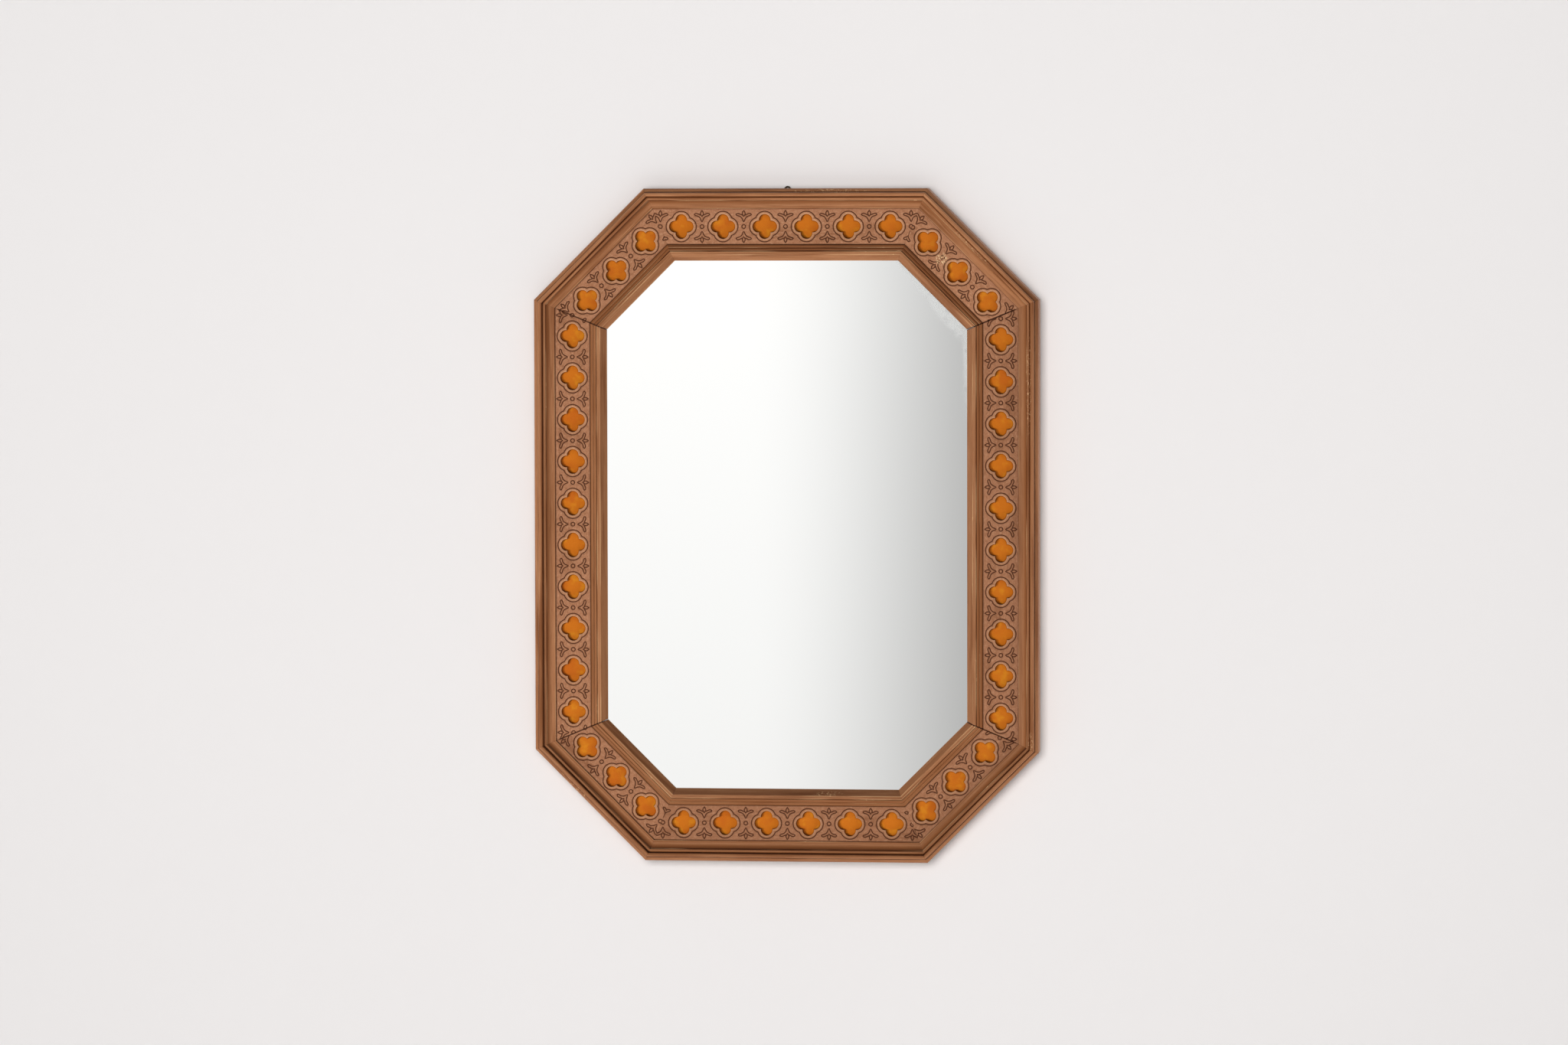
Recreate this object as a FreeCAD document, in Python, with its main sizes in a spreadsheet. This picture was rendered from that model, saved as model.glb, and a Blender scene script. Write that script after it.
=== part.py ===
import FreeCAD, Part
import math
import os
import Sketcher

# Octagonal wall mirror: eight moulded rails, mitred round a sheet of mirror glass.
# Millimetres. The rails' backs lie in y = 0, the front faces -y, and the nail bears at the origin's height.

lengths = {
    # Outline of the frame
    "overall_width": 618,
    "overall_height": 822,
    "corner_leg": 135.5,
    # Moulding, from the outer edge inwards
    "rim_bead_width": 7.5,
    "rim_bead_stand": 2.25,
    "side_quirk_drop": 4.7,
    "side_quirk_width": 1.2,
    "side_quirk_depth": 1,
    "rim_quirk_width": 1.2,
    "astragal_width": 3.6,
    "astragal_rise": 1,
    "astragal_wall": 1.4,
    "cove_setback": 0.7,
    "cove_width": 9.3,
    "cove_drop": 4.6,
    "frieze_border": 2.2,
    "frieze_drop": 2,
    "frieze_level": 22,
    "frieze_width": 43.5,
    "reed_lift": 0.6,
    "reed_width": 4,
    "reed_rise": 1,
    "reed_quirk": 0.6,
    "small_reed_lift": 0.4,
    "small_reed_width": 2.8,
    "small_reed_rise": 0.7,
    "crest_rise": 1.4,
    "crest_width": 4.6,
    "inner_cove_width": 3.4,
    "sight_drop": 4,
    "sight_toe": 0.8,
    "sight_bead_width": 4,
    "sight_bead_rise": 1.2,
    # Rabbet, glass and backing
    "lip_thickness": 4,
    "rabbet_width": 8,
    "glass_thickness": 4,
    "glass_edge_gap": 1,
    "board_thickness": 3,
    # Pierced frieze strips with felt behind them, and where the pattern starts on each rail
    "frieze_thickness": 4.5,
    "frieze_gap": 0.1,
    "felt_thickness": 1,
    "lobe_offset": 7.9,
    "lobe_radius": 7.2,
    "pitch": 51.2,
    "bottom_slip": 0.9,
    "lower_right_slip": -2,
    "right_slip": -3.3,
    "upper_right_slip": -2,
    "top_slip": 0,
    "upper_left_slip": -0.3,
    "left_slip": -0.8,
    "lower_left_slip": -2.2,
    # Corrugated fasteners across the mitres
    "fastener_length": 30,
    "fastener_depth": 10,
    "fastener_wave": 1.5,
    "fastener_sheet": 0.7,
    "fastener_inset": 40,
    "fastener_gap": 0.1,
    # Square cut sprigs that hold the backing board
    "sprig_side": 1.6,
    "sprig_length": 18,
    "sprig_point": 4,
    "sprig_embedded": 9,
    "sprig_spacing": 150,
    "sprig_gap": 0.05,
    # Strap hanger with its triangular ring
    "ring_wire": 2.2,
    "ring_bar_half": 8.5,
    "ring_bend": 3,
    "ring_apex_height": 14,
    "ring_stand": 3,
    "eye_gap": 0.06,
    "strap_sheet": 0.8,
    "strap_width": 14,
    "strap_length": 30,
    "strap_corner": 5,
    "strap_hole_gap": 0.2,
    "screw_diameter": 3,
    "screw_length": 14,
    "screw_tip": 3,
    "screw_head_diameter": 6,
    "screw_head_flat": 3.4,
    "screw_head_height": 1.9,
    "screw_first_drop": 9,
    "screw_spacing": 13,
    "screw_gap": 0.05,
    # Shared
    "overrun": 5,
}

mitre_share = math.tan(math.radians(22.5))
cove_round_share = 0.97
inner_cove_round_share = 1.8
pattern_overhang_share = 0.25
sprig_rounding_share = 0.5
wave_count = 6
eye_wrap_degrees = 250
ring_lean_degrees = 1.5
left_turn, right_turn = 1, -1
same_place = 1e-6

document = FreeCAD.newDocument("octagonal_mirror")
sheet = document.addObject("Spreadsheet::Sheet", "sizes")
for row, (name, value) in enumerate(lengths.items(), start=1):
    sheet.set(f"A{row}", name)
    sheet.set(f"B{row}", str(value))
    sheet.setAlias(f"B{row}", name)
document.recompute()


def as_size(number):
    return number if isinstance(number, Size) else Size(float(number), repr(float(number)))


# A length that knows the sheet's expression for itself, so each sum is written once.
class Size:
    def __init__(self, value, text):
        self.value = value
        self.text = text

    def __add__(self, other):
        other = as_size(other)
        return Size(self.value + other.value, f"({self.text} + {other.text})")

    def __sub__(self, other):
        other = as_size(other)
        return Size(self.value - other.value, f"({self.text} - {other.text})")

    def __mul__(self, other):
        other = as_size(other)
        return Size(self.value * other.value, f"({self.text} * {other.text})")

    def __truediv__(self, other):
        other = as_size(other)
        return Size(self.value / other.value, f"({self.text} / {other.text})")

    def __neg__(self):
        return Size(-self.value, f"(0 - {self.text})")


def size(alias):
    return Size(float(sheet.get(alias)), f"sizes.{alias}")


def bind(thing, prop, length):
    thing.setExpression(prop, as_size(length).text)


def bulge_radius(width, rise):
    return (width * width / 4 + rise * rise) / (rise * 2)


# Levels of the moulding above its back
frieze_level = size("frieze_level")
cove_foot = frieze_level + size("frieze_drop")
cove_top = cove_foot + size("cove_drop")
rim_quirk_floor = cove_top + size("astragal_wall")
bead_radius = size("rim_bead_width") / 2
bead_spring = rim_quirk_floor + size("rim_bead_stand")
rim_level = bead_spring + bead_radius
side_quirk_low = bead_spring - size("side_quirk_drop")
side_quirk_high = side_quirk_low + size("side_quirk_width")
reed_foot = frieze_level + size("reed_lift")
small_reed_foot = reed_foot + size("small_reed_lift")
crest_level = small_reed_foot + size("crest_rise")
sight_level = frieze_level - size("sight_drop")
shoulder_level = sight_level - size("lip_thickness")
glass_back = shoulder_level - size("glass_thickness")
board_back = glass_back - size("board_thickness")
felt_top = frieze_level - size("frieze_thickness")
channel_floor = felt_top - size("felt_thickness")

# Distances from the outer edge
astragal_start = size("rim_bead_width") + size("rim_quirk_width")
astragal_end = astragal_start + size("astragal_width")
cove_start = astragal_end + size("cove_setback")
cove_end = cove_start + size("cove_width")
frieze_start = cove_end + size("frieze_border")
frieze_end = frieze_start + size("frieze_width")
reed_end = frieze_end + size("reed_width")
small_reed_start = reed_end + size("reed_quirk")
small_reed_end = small_reed_start + size("small_reed_width")
crest_start = small_reed_end + size("reed_quirk")
crest_end = crest_start + size("crest_width")
sight_bead_start = crest_end + size("inner_cove_width")
rail_width = sight_bead_start + size("sight_bead_width")
rabbet_edge = rail_width - size("rabbet_width")
glass_edge = rabbet_edge + size("glass_edge_gap")
pattern_line = frieze_start + size("frieze_width") / 2

# Heights on the wall
top_edge = size("ring_wire") - size("ring_stand")
half_width = size("overall_width") / 2
half_height = size("overall_height") / 2
centre_height = top_edge - half_height
half_leg = size("corner_leg") / 2
short_length = size("overall_width") - size("corner_leg") * 2
long_length = size("overall_height") - size("corner_leg") * 2
corner_length = size("corner_leg") * math.sqrt(2)

# name, outer length, turn about the front axis, middle of the outer edge, pattern slip
rails = [
    ("bottom_rail", short_length, 0, as_size(0), centre_height - half_height, "bottom_slip"),
    ("lower_right_rail", corner_length, 45, half_width - half_leg,
     centre_height - half_height + half_leg, "lower_right_slip"),
    ("right_stile", long_length, 90, half_width, centre_height, "right_slip"),
    ("upper_right_rail", corner_length, 135, half_width - half_leg,
     centre_height + half_height - half_leg, "upper_right_slip"),
    ("top_rail", short_length, 180, as_size(0), centre_height + half_height, "top_slip"),
    ("upper_left_rail", corner_length, 225, half_leg - half_width,
     centre_height + half_height - half_leg, "upper_left_slip"),
    ("left_stile", long_length, 270, -half_width, centre_height, "left_slip"),
    ("lower_left_rail", corner_length, 315, half_leg - half_width,
     centre_height - half_height + half_leg, "lower_left_slip"),
]
nodes = []


def new_body(label):
    body = document.addObject("PartDesign::Body", label)
    body.Label = label
    nodes.append(body)
    return body


def origin_plane(body, role):
    return next(plane for plane in body.Origin.OriginFeatures if plane.Role == role)


def new_sketch(body, name, role, level=None):
    sketch = body.newObject("Sketcher::SketchObject", f"{body.Label}_{name}")
    sketch.AttachmentSupport = (origin_plane(body, role), [""])
    sketch.MapMode = "FlatFace"
    if level is not None:
        bind(sketch, "AttachmentOffset.Base.z", level)
    return sketch


# Holds one point of a sketch at a place given by two sizes.
def hold_point(sketch, edge, end, x, y):
    for kind, axis, place in (("DistanceX", -2, as_size(x)), ("DistanceY", -1, as_size(y))):
        if place.text == as_size(0).text:
            sketch.addConstraint(Sketcher.Constraint("PointOnObject", edge, end, axis))
            continue
        index = sketch.addConstraint(Sketcher.Constraint(kind, -1, 1, edge, end, place.value))
        bind(sketch, f"Constraints[{index}]", place)


def hold_radius(sketch, edge, radius):
    index = sketch.addConstraint(Sketcher.Constraint("Radius", edge, as_size(radius).value))
    bind(sketch, f"Constraints[{index}]", radius)


def arc_between(start, end, radius, turn):
    along = end - start
    across = FreeCAD.Vector(-along.y, along.x, 0).normalize()
    rise = math.sqrt(radius ** 2 - along.Length ** 2 / 4)
    centre = start + along * 0.5 + across * rise * turn
    first, last = (start, end) if turn == left_turn else (end, start)
    angles = [math.atan2(point.y - centre.y, point.x - centre.x) for point in (first, last)]
    return Part.ArcOfCircle(Part.Circle(centre, FreeCAD.Vector(0, 0, 1), radius), *angles)


# Closed outline; a corner with a radius and a turn starts an arc to the next corner.
def draw_outline(sketch, corners):
    points = [FreeCAD.Vector(as_size(corner[0]).value, as_size(corner[1]).value, 0) for corner in corners]
    ends = []
    for index, corner in enumerate(corners):
        start, end = points[index], points[(index + 1) % len(points)]
        if len(corner) == 2:
            edge = sketch.addGeometry(Part.LineSegment(start, end))
            ends.append((edge, 1, 2))
            continue
        radius, turn = corner[2:]
        edge = sketch.addGeometry(arc_between(start, end, radius.value, turn))
        ends.append((edge, 1, 2) if turn == left_turn else (edge, 2, 1))
    for index, (edge, start, end) in enumerate(ends):
        following, following_start, _ = ends[(index + 1) % len(ends)]
        sketch.addConstraint(Sketcher.Constraint("Coincident", edge, end, following, following_start))
    for (edge, start, _), corner in zip(ends, corners):
        hold_point(sketch, edge, start, corner[0], corner[1])
        if len(corner) > 2:
            hold_radius(sketch, edge, corner[2])


# Four round lobes about a middle point; offset is how far the lobes' centres stand from it.
def draw_quatrefoil(sketch, x, y, offset, radius):
    diagonal = (offset.value + math.sqrt(2 * radius.value ** 2 - offset.value ** 2)) / 2
    opening = math.atan2(diagonal, diagonal - offset.value)
    lobes = []
    for quarter, (step_x, step_y) in enumerate(((1, 0), (0, 1), (-1, 0), (0, -1))):
        centre_x, centre_y = x + offset * step_x, y + offset * step_y
        turn = quarter * math.pi / 2
        centre = FreeCAD.Vector(centre_x.value, centre_y.value, 0)
        circle = Part.Circle(centre, FreeCAD.Vector(0, 0, 1), radius.value)
        lobe = sketch.addGeometry(Part.ArcOfCircle(circle, turn - opening, turn + opening))
        hold_point(sketch, lobe, 3, centre_x, centre_y)
        hold_radius(sketch, lobe, radius)
        lobes.append(lobe)
    for lobe, following in zip(lobes, lobes[1:] + lobes[:1]):
        sketch.addConstraint(Sketcher.Constraint("Coincident", lobe, 2, following, 1))


def draw_circle(sketch, x, y, radius):
    centre = FreeCAD.Vector(as_size(x).value, as_size(y).value, 0)
    circle = sketch.addGeometry(Part.Circle(centre, FreeCAD.Vector(0, 0, 1), radius.value))
    hold_point(sketch, circle, 3, x, y)
    hold_radius(sketch, circle, radius)


def add_pad(body, sketch, length, middle=False):
    pad = body.newObject("PartDesign::Pad", f"{sketch.Label}_pad")
    pad.Profile = sketch
    pad.SideType = "Symmetric" if middle else "One side"
    bind(pad, "Length", length)
    document.recompute()
    return pad


# Cuts a sketch into the body and makes sure that something was taken away.
def add_pocket(body, sketch, depth, reverse):
    before = body.Shape.Volume
    pocket = body.newObject("PartDesign::Pocket", f"{sketch.Label}_pocket")
    pocket.Profile = sketch
    pocket.Reversed = reverse
    bind(pocket, "Length", depth)
    document.recompute()
    if body.Shape.Volume >= before:
        raise RuntimeError(f"{pocket.Label} cuts nothing")
    return pocket


def repeat_along(body, feature, sketch, axis, extent, count):
    if count < 2:
        return
    pattern = body.newObject("PartDesign::LinearPattern", f"{feature.Label}_row")
    pattern.Originals = [feature]
    pattern.Direction = (sketch, [axis])
    bind(pattern, "Length", extent)
    pattern.Occurrences = count
    body.Tip = pattern
    document.recompute()


def rail_turn(degrees):
    upright = FreeCAD.Rotation(FreeCAD.Vector(1, 0, 0), 90)
    return FreeCAD.Rotation(FreeCAD.Vector(0, -1, 0), degrees).multiply(upright)


def place_on_frame(body, degrees, x, z):
    body.Placement = FreeCAD.Placement(FreeCAD.Vector(x.value, 0, z.value), rail_turn(degrees))
    bind(body, "Placement.Base.x", x)
    bind(body, "Placement.Base.z", z)


# How many whole repeats the pattern line has room for.
def repeat_count(length):
    room = length - pattern_line * 2 * mitre_share
    return max(1, math.floor(room.value / size("pitch").value + pattern_overhang_share))


def first_repeat(length, slip):
    return size(slip) - size("pitch") * ((repeat_count(length) - 1) / 2)


def sprig_places(length):
    room = length - rabbet_edge * 2 * mitre_share
    count = max(1, math.floor(room.value / size("sprig_spacing").value + sprig_rounding_share))
    return [size("sprig_spacing") * (index - (count - 1) / 2) for index in range(count)]


moulding = [
    (0, 0),
    (0, side_quirk_low),
    (size("side_quirk_depth"), side_quirk_low),
    (size("side_quirk_depth"), side_quirk_high),
    (0, side_quirk_high),
    (0, bead_spring, bead_radius, right_turn),
    (bead_radius, rim_level, bead_radius, right_turn),
    (size("rim_bead_width"), bead_spring),
    (size("rim_bead_width"), rim_quirk_floor),
    (astragal_start, rim_quirk_floor,
     bulge_radius(size("astragal_width"), size("astragal_rise")), right_turn),
    (astragal_end, rim_quirk_floor),
    (astragal_end, cove_top),
    (cove_start, cove_top, size("cove_width") * cove_round_share, left_turn),
    (cove_end, cove_foot),
    (frieze_start, cove_foot),
    (frieze_start, channel_floor),
    (frieze_end, channel_floor),
    (frieze_end, reed_foot, bulge_radius(size("reed_width"), size("reed_rise")), right_turn),
    (reed_end, reed_foot),
    (small_reed_start, reed_foot),
    (small_reed_start, small_reed_foot,
     bulge_radius(size("small_reed_width"), size("small_reed_rise")), right_turn),
    (small_reed_end, small_reed_foot),
    (crest_start, small_reed_foot),
    (crest_start, crest_level),
    (crest_end, crest_level, size("inner_cove_width") * inner_cove_round_share, left_turn),
    (sight_bead_start, sight_level + size("sight_toe")),
    (sight_bead_start, sight_level,
     bulge_radius(size("sight_bead_width"), size("sight_bead_rise")), right_turn),
    (rail_width, sight_level),
    (rail_width, shoulder_level),
    (rabbet_edge, shoulder_level),
    (rabbet_edge, 0),
]

overrun = size("overrun")
across_mitre = FreeCAD.Vector(math.cos(math.radians(22.5)), math.sin(math.radians(22.5)), 0)


# Plan of a corrugated fastener across the mitre at one end of a rail, grown by a gap for its slot.
def fastener_plan(length, side, gap):
    inset = size("fastener_inset")
    middle = length / 2 - inset * mitre_share
    reach = size("fastener_length") / 2 + gap
    half_sheet = size("fastener_sheet") / 2 + gap
    bends = []
    for index in range(wave_count + 1):
        across = reach * (2 * index / wave_count - 1)
        along = size("fastener_wave") * (1 if index % 2 else -1)
        bends.append((across, along))
    plan = [(across, along + half_sheet) for across, along in bends]
    plan += [(across, along - half_sheet) for across, along in reversed(bends)]
    corners = []
    for across, along in plan:
        x = (middle + across * across_mitre.x - along * across_mitre.y) * side
        corners.append((x, inset + across * across_mitre.y + along * across_mitre.x))
    return corners


def cut_mitres(body, length):
    sketch = new_sketch(body, "mitres", "XY_Plane")
    outer, inner = -overrun, rail_width + overrun
    for side in (1, -1):
        draw_outline(sketch, [
            ((length / 2 - outer * mitre_share) * side, outer),
            ((length / 2 + overrun * 2) * side, outer),
            ((length / 2 + overrun * 2) * side, inner),
            ((length / 2 - inner * mitre_share) * side, inner),
        ])
    add_pocket(body, sketch, rim_level + overrun, reverse=True)


def cut_fastener_slots(body, length):
    sketch = new_sketch(body, "fastener_slots", "XY_Plane")
    for side in (1, -1):
        draw_outline(sketch, fastener_plan(length, side, size("fastener_gap")))
    add_pocket(body, sketch, size("fastener_depth") + size("fastener_gap"), reverse=True)


sprig_level = board_back - size("sprig_side") / 2


def cut_sprig_holes(body, length):
    sketch = new_sketch(body, "sprig_holes", "XZ_Plane", -rabbet_edge)
    half = size("sprig_side") / 2 + size("sprig_gap")
    for place in sprig_places(length):
        draw_outline(sketch, [
            (place - half, sprig_level - half),
            (place + half, sprig_level - half),
            (place + half, sprig_level + half),
            (place - half, sprig_level + half),
        ])
    add_pocket(body, sketch, size("sprig_embedded") + size("sprig_gap"), reverse=True)


# Hanger: the eye's axis, the strap on the top rail's back and its two screws
eye_inside = size("ring_wire") / 2 + size("eye_gap")
eye_outside = eye_inside + size("strap_sheet")
ring_reach = size("ring_apex_height") + size("ring_bend")
eye_height = size("ring_wire") / 2 - ring_reach * math.cos(math.radians(ring_lean_degrees))
screw_drops = [size("screw_first_drop"), size("screw_first_drop") + size("screw_spacing")]
screw_depth = size("screw_length") + size("screw_gap")


def cut_screw_holes(body):
    sketch = new_sketch(body, "screw_holes", "XY_Plane")
    for drop in screw_drops:
        draw_circle(sketch, 0, top_edge - eye_height + drop, size("screw_diameter") / 2 + size("screw_gap"))
    add_pocket(body, sketch, screw_depth - size("strap_sheet"), reverse=True)


def make_rail(label, length, degrees, x, z):
    body = new_body(label)
    profile = new_sketch(body, "moulding", "YZ_Plane")
    draw_outline(profile, moulding)
    add_pad(body, profile, length + overrun * 2, middle=True)
    cut_mitres(body, length)
    cut_fastener_slots(body, length)
    cut_sprig_holes(body, length)
    if label == "top_rail":
        cut_screw_holes(body)
    place_on_frame(body, degrees, x, z)


# Mitred strip in the rail's channel, its underside at a level above the rail's back.
def make_strip(label, length, degrees, x, z, level, thickness):
    body = new_body(label)
    sketch = new_sketch(body, "plan", "XY_Plane", level)
    outer, inner = frieze_start + size("frieze_gap"), frieze_end - size("frieze_gap")
    draw_outline(sketch, [
        (outer * mitre_share - length / 2, outer),
        (length / 2 - outer * mitre_share, outer),
        (length / 2 - inner * mitre_share, inner),
        (inner * mitre_share - length / 2, inner),
    ])
    add_pad(body, sketch, thickness)
    place_on_frame(body, degrees, x, z)
    return body


def pierce_quatrefoils(body, length, slip):
    sketch = new_sketch(body, "quatrefoil", "XY_Plane", frieze_level)
    middle = first_repeat(length, slip)
    draw_quatrefoil(sketch, middle, pattern_line, size("lobe_offset"), size("lobe_radius"))
    hole = add_pocket(body, sketch, size("frieze_thickness") + overrun, reverse=False)
    count = repeat_count(length)
    repeat_along(body, hole, sketch, "H_Axis", size("pitch") * (count - 1), count)


# Eight-sided sheet in the rabbet, its back at a level above the rails' backs.
def make_sheet(label, level, thickness):
    body = new_body(label)
    sketch = new_sketch(body, "outline", "XZ_Plane", level)
    wide = half_width - glass_edge
    tall = half_height - glass_edge
    leg = size("corner_leg") - glass_edge * (2 - math.sqrt(2))
    draw_outline(sketch, [
        (wide - leg, -tall),
        (wide, leg - tall),
        (wide, tall - leg),
        (wide - leg, tall),
        (leg - wide, tall),
        (-wide, tall - leg),
        (-wide, leg - tall),
        (leg - wide, -tall),
    ])
    add_pad(body, sketch, thickness)
    bind(body, "Placement.Base.z", centre_height)


# Group of like fasteners, each made in a rail's own frame and turned with that rail.
def make_group(label, shapes):
    group = document.addObject("Part::Feature", label)
    group.Label = label
    group.Shape = Part.makeCompound(shapes)
    nodes.append(group)


def on_rail(shape, degrees, x, z):
    shape.Placement = FreeCAD.Placement(FreeCAD.Vector(x.value, 0, z.value), rail_turn(degrees))
    return shape


def mitre_fastener(length):
    points = [FreeCAD.Vector(x.value, y.value, 0) for x, y in fastener_plan(length, 1, as_size(0))]
    face = Part.Face(Part.makePolygon(points + points[:1]))
    return face.extrude(FreeCAD.Vector(0, 0, size("fastener_depth").value))


def sprig(place):
    half = size("sprig_side") / 2
    head = rabbet_edge + size("sprig_length") - size("sprig_embedded")
    point = head - size("sprig_length")
    plan = [
        (place - half, head),
        (place + half, head),
        (place + half, point + size("sprig_point")),
        (place, point),
        (place - half, point + size("sprig_point")),
    ]
    points = [FreeCAD.Vector(x.value, y.value, (sprig_level - half).value) for x, y in plan]
    face = Part.Face(Part.makePolygon(points + points[:1]))
    return face.extrude(FreeCAD.Vector(0, 0, size("sprig_side").value))


def make_strap():
    body = new_body("hanger_strap")
    sketch = new_sketch(body, "side", "YZ_Plane")
    end = math.pi - math.radians(eye_wrap_degrees)
    end_cos, end_sin = math.cos(end), math.sin(end)
    draw_outline(sketch, [
        (-eye_outside, -size("strap_length")),
        (-eye_outside, 0, eye_outside, right_turn),
        (0, eye_outside, eye_outside, right_turn),
        (eye_outside, 0, eye_outside, right_turn),
        (eye_outside * end_cos, eye_outside * end_sin),
        (eye_inside * end_cos, eye_inside * end_sin, eye_inside, left_turn),
        (eye_inside, 0, eye_inside, left_turn),
        (0, eye_inside, eye_inside, left_turn),
        (-eye_inside, 0),
        (-eye_inside, -size("strap_length")),
    ])
    add_pad(body, sketch, size("strap_width"), middle=True)
    holes = new_sketch(body, "holes", "XZ_Plane", eye_outside)
    for drop in screw_drops:
        draw_circle(holes, 0, -drop, size("screw_diameter") / 2 + size("strap_hole_gap"))
    add_pocket(body, holes, size("strap_sheet"), reverse=False)
    plain = body.Tip
    low = -size("strap_length").value
    corners = [f"Edge{index}" for index, edge in enumerate(plain.Shape.Edges, start=1)
               if all(abs(vertex.Z - low) < same_place for vertex in edge.Vertexes)
               and abs(edge.tangentAt(edge.FirstParameter).y) > 1 - same_place]
    fillet = body.newObject("PartDesign::Fillet", "hanger_strap_corners")
    fillet.Base = (plain, corners)
    bind(fillet, "Radius", size("strap_corner"))
    bind(body, "Placement.Base.y", eye_outside)
    bind(body, "Placement.Base.z", eye_height)


def make_screws():
    body = new_body("hanger_screws")
    body.AllowCompound = True
    sketch = new_sketch(body, "half", "XY_Plane")
    shank = size("screw_diameter") / 2
    head = size("screw_head_diameter") / 2
    draw_outline(sketch, [
        (0, -size("screw_length")),
        (shank, size("screw_tip") - size("screw_length")),
        (shank, 0),
        (head, 0),
        (size("screw_head_flat") / 2, size("screw_head_height")),
        (0, size("screw_head_height")),
    ])
    turned = body.newObject("PartDesign::Revolution", "hanger_screw_turned")
    turned.Profile = sketch
    turned.ReferenceAxis = (sketch, ["V_Axis"])
    turned.Angle = 360
    document.recompute()
    repeat_along(body, turned, sketch, "N_Axis", size("screw_spacing"), len(screw_drops))
    bind(body, "Placement.Base.y", size("strap_sheet"))
    bind(body, "Placement.Base.z", eye_height - screw_drops[-1])


# Half of the bent wire, from the bar's middle round to the apex, then mirrored.
def make_ring():
    body = new_body("hanger_ring")
    bar, bend, apex = size("ring_bar_half"), size("ring_bend"), size("ring_apex_height")
    slope = FreeCAD.Vector(-bar.value, apex.value - bend.value, 0).normalize()
    side = FreeCAD.Vector(slope.y, -slope.x, 0) * bend.value
    low_centre = FreeCAD.Vector(bar.value, bend.value, 0)
    apex_centre = FreeCAD.Vector(0, apex.value, 0)
    up = FreeCAD.Vector(0, 0, 1)
    lean = math.atan2(side.y, side.x)
    path = new_sketch(body, "path", "XZ_Plane")
    straight = path.addGeometry(Part.LineSegment(FreeCAD.Vector(), FreeCAD.Vector(bar.value, 0, 0)))
    corner = path.addGeometry(Part.ArcOfCircle(Part.Circle(low_centre, up, bend.value), -math.pi / 2, lean))
    leg = path.addGeometry(Part.LineSegment(low_centre + side, apex_centre + side))
    crown = path.addGeometry(Part.ArcOfCircle(Part.Circle(apex_centre, up, bend.value), lean, math.pi / 2))
    hold_point(path, straight, 1, 0, 0)
    path.addConstraint(Sketcher.Constraint("PointOnObject", straight, 2, -1))
    for first, second in ((straight, corner), (corner, leg), (leg, crown)):
        path.addConstraint(Sketcher.Constraint("Tangent", first, 2, second, 1))
    path.addConstraint(Sketcher.Constraint("PointOnObject", crown, 2, -2))
    path.addConstraint(Sketcher.Constraint("PointOnObject", crown, 3, -2))
    hold_radius(path, corner, bend)
    hold_radius(path, crown, bend)
    for kind, edge, place in (("DistanceX", corner, bar), ("DistanceY", crown, apex)):
        index = path.addConstraint(Sketcher.Constraint(kind, -1, 1, edge, 3, place.value))
        bind(path, f"Constraints[{index}]", place)
    section = new_sketch(body, "wire", "YZ_Plane")
    draw_circle(section, 0, 0, size("ring_wire") / 2)
    document.recompute()
    half = body.newObject("PartDesign::AdditivePipe", "hanger_ring_half")
    half.Profile = section
    half.Spine = (path, [f"Edge{index}" for index in range(1, path.GeometryCount + 1)])
    document.recompute()
    whole = body.newObject("PartDesign::Mirrored", "hanger_ring_whole")
    whole.Originals = [half]
    whole.MirrorPlane = (origin_plane(body, "YZ_Plane"), [""])
    body.Tip = whole
    document.recompute()
    drawn = path.Shape.Length * 2 * math.pi * (size("ring_wire").value / 2) ** 2
    print(f"ring wire: {body.Shape.Volume:.1f} mm3 drawn, {drawn:.1f} mm3 by length")
    body.Placement.Rotation = FreeCAD.Rotation(FreeCAD.Vector(1, 0, 0), ring_lean_degrees)
    bind(body, "Placement.Base.y", eye_outside)
    bind(body, "Placement.Base.z", eye_height)


for label, length, degrees, x, z, slip in rails:
    make_rail(label, length, degrees, x, z)
    make_strip(f"{label}_felt", length, degrees, x, z, channel_floor, size("felt_thickness"))
    frieze = make_strip(f"{label}_frieze", length, degrees, x, z, felt_top, size("frieze_thickness"))
    pierce_quatrefoils(frieze, length, slip)
make_sheet("mirror_glass", glass_back, size("glass_thickness"))
make_sheet("backing_board", board_back, size("board_thickness"))
make_group("mitre_fasteners", [
    on_rail(mitre_fastener(length), degrees, x, z) for _, length, degrees, x, z, _ in rails])
make_group("glazing_sprigs", [
    on_rail(sprig(place), degrees, x, z)
    for _, length, degrees, x, z, _ in rails for place in sprig_places(length)])
make_strap()
make_screws()
make_ring()
document.recompute()

for thing in document.Objects:
    if "Invalid" in thing.State or "Error" in thing.State:
        raise RuntimeError(f"{thing.Label} failed: {thing.State}")
for node in nodes:
    if node.Shape.isNull() or not node.Shape.isValid():
        raise RuntimeError(f"{node.Label} has no valid shape")
os.makedirs("parts", exist_ok=True)
for node in nodes:
    node.Shape.exportStep(f"parts/{node.Label}.step")
    print(f"{node.Label}: {len(node.Shape.Solids)} solids, {node.Shape.Volume:.0f} mm3")
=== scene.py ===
import math

import bmesh
import bpy
from mathutils import Matrix, Quaternion, Vector, geometry, noise


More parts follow.
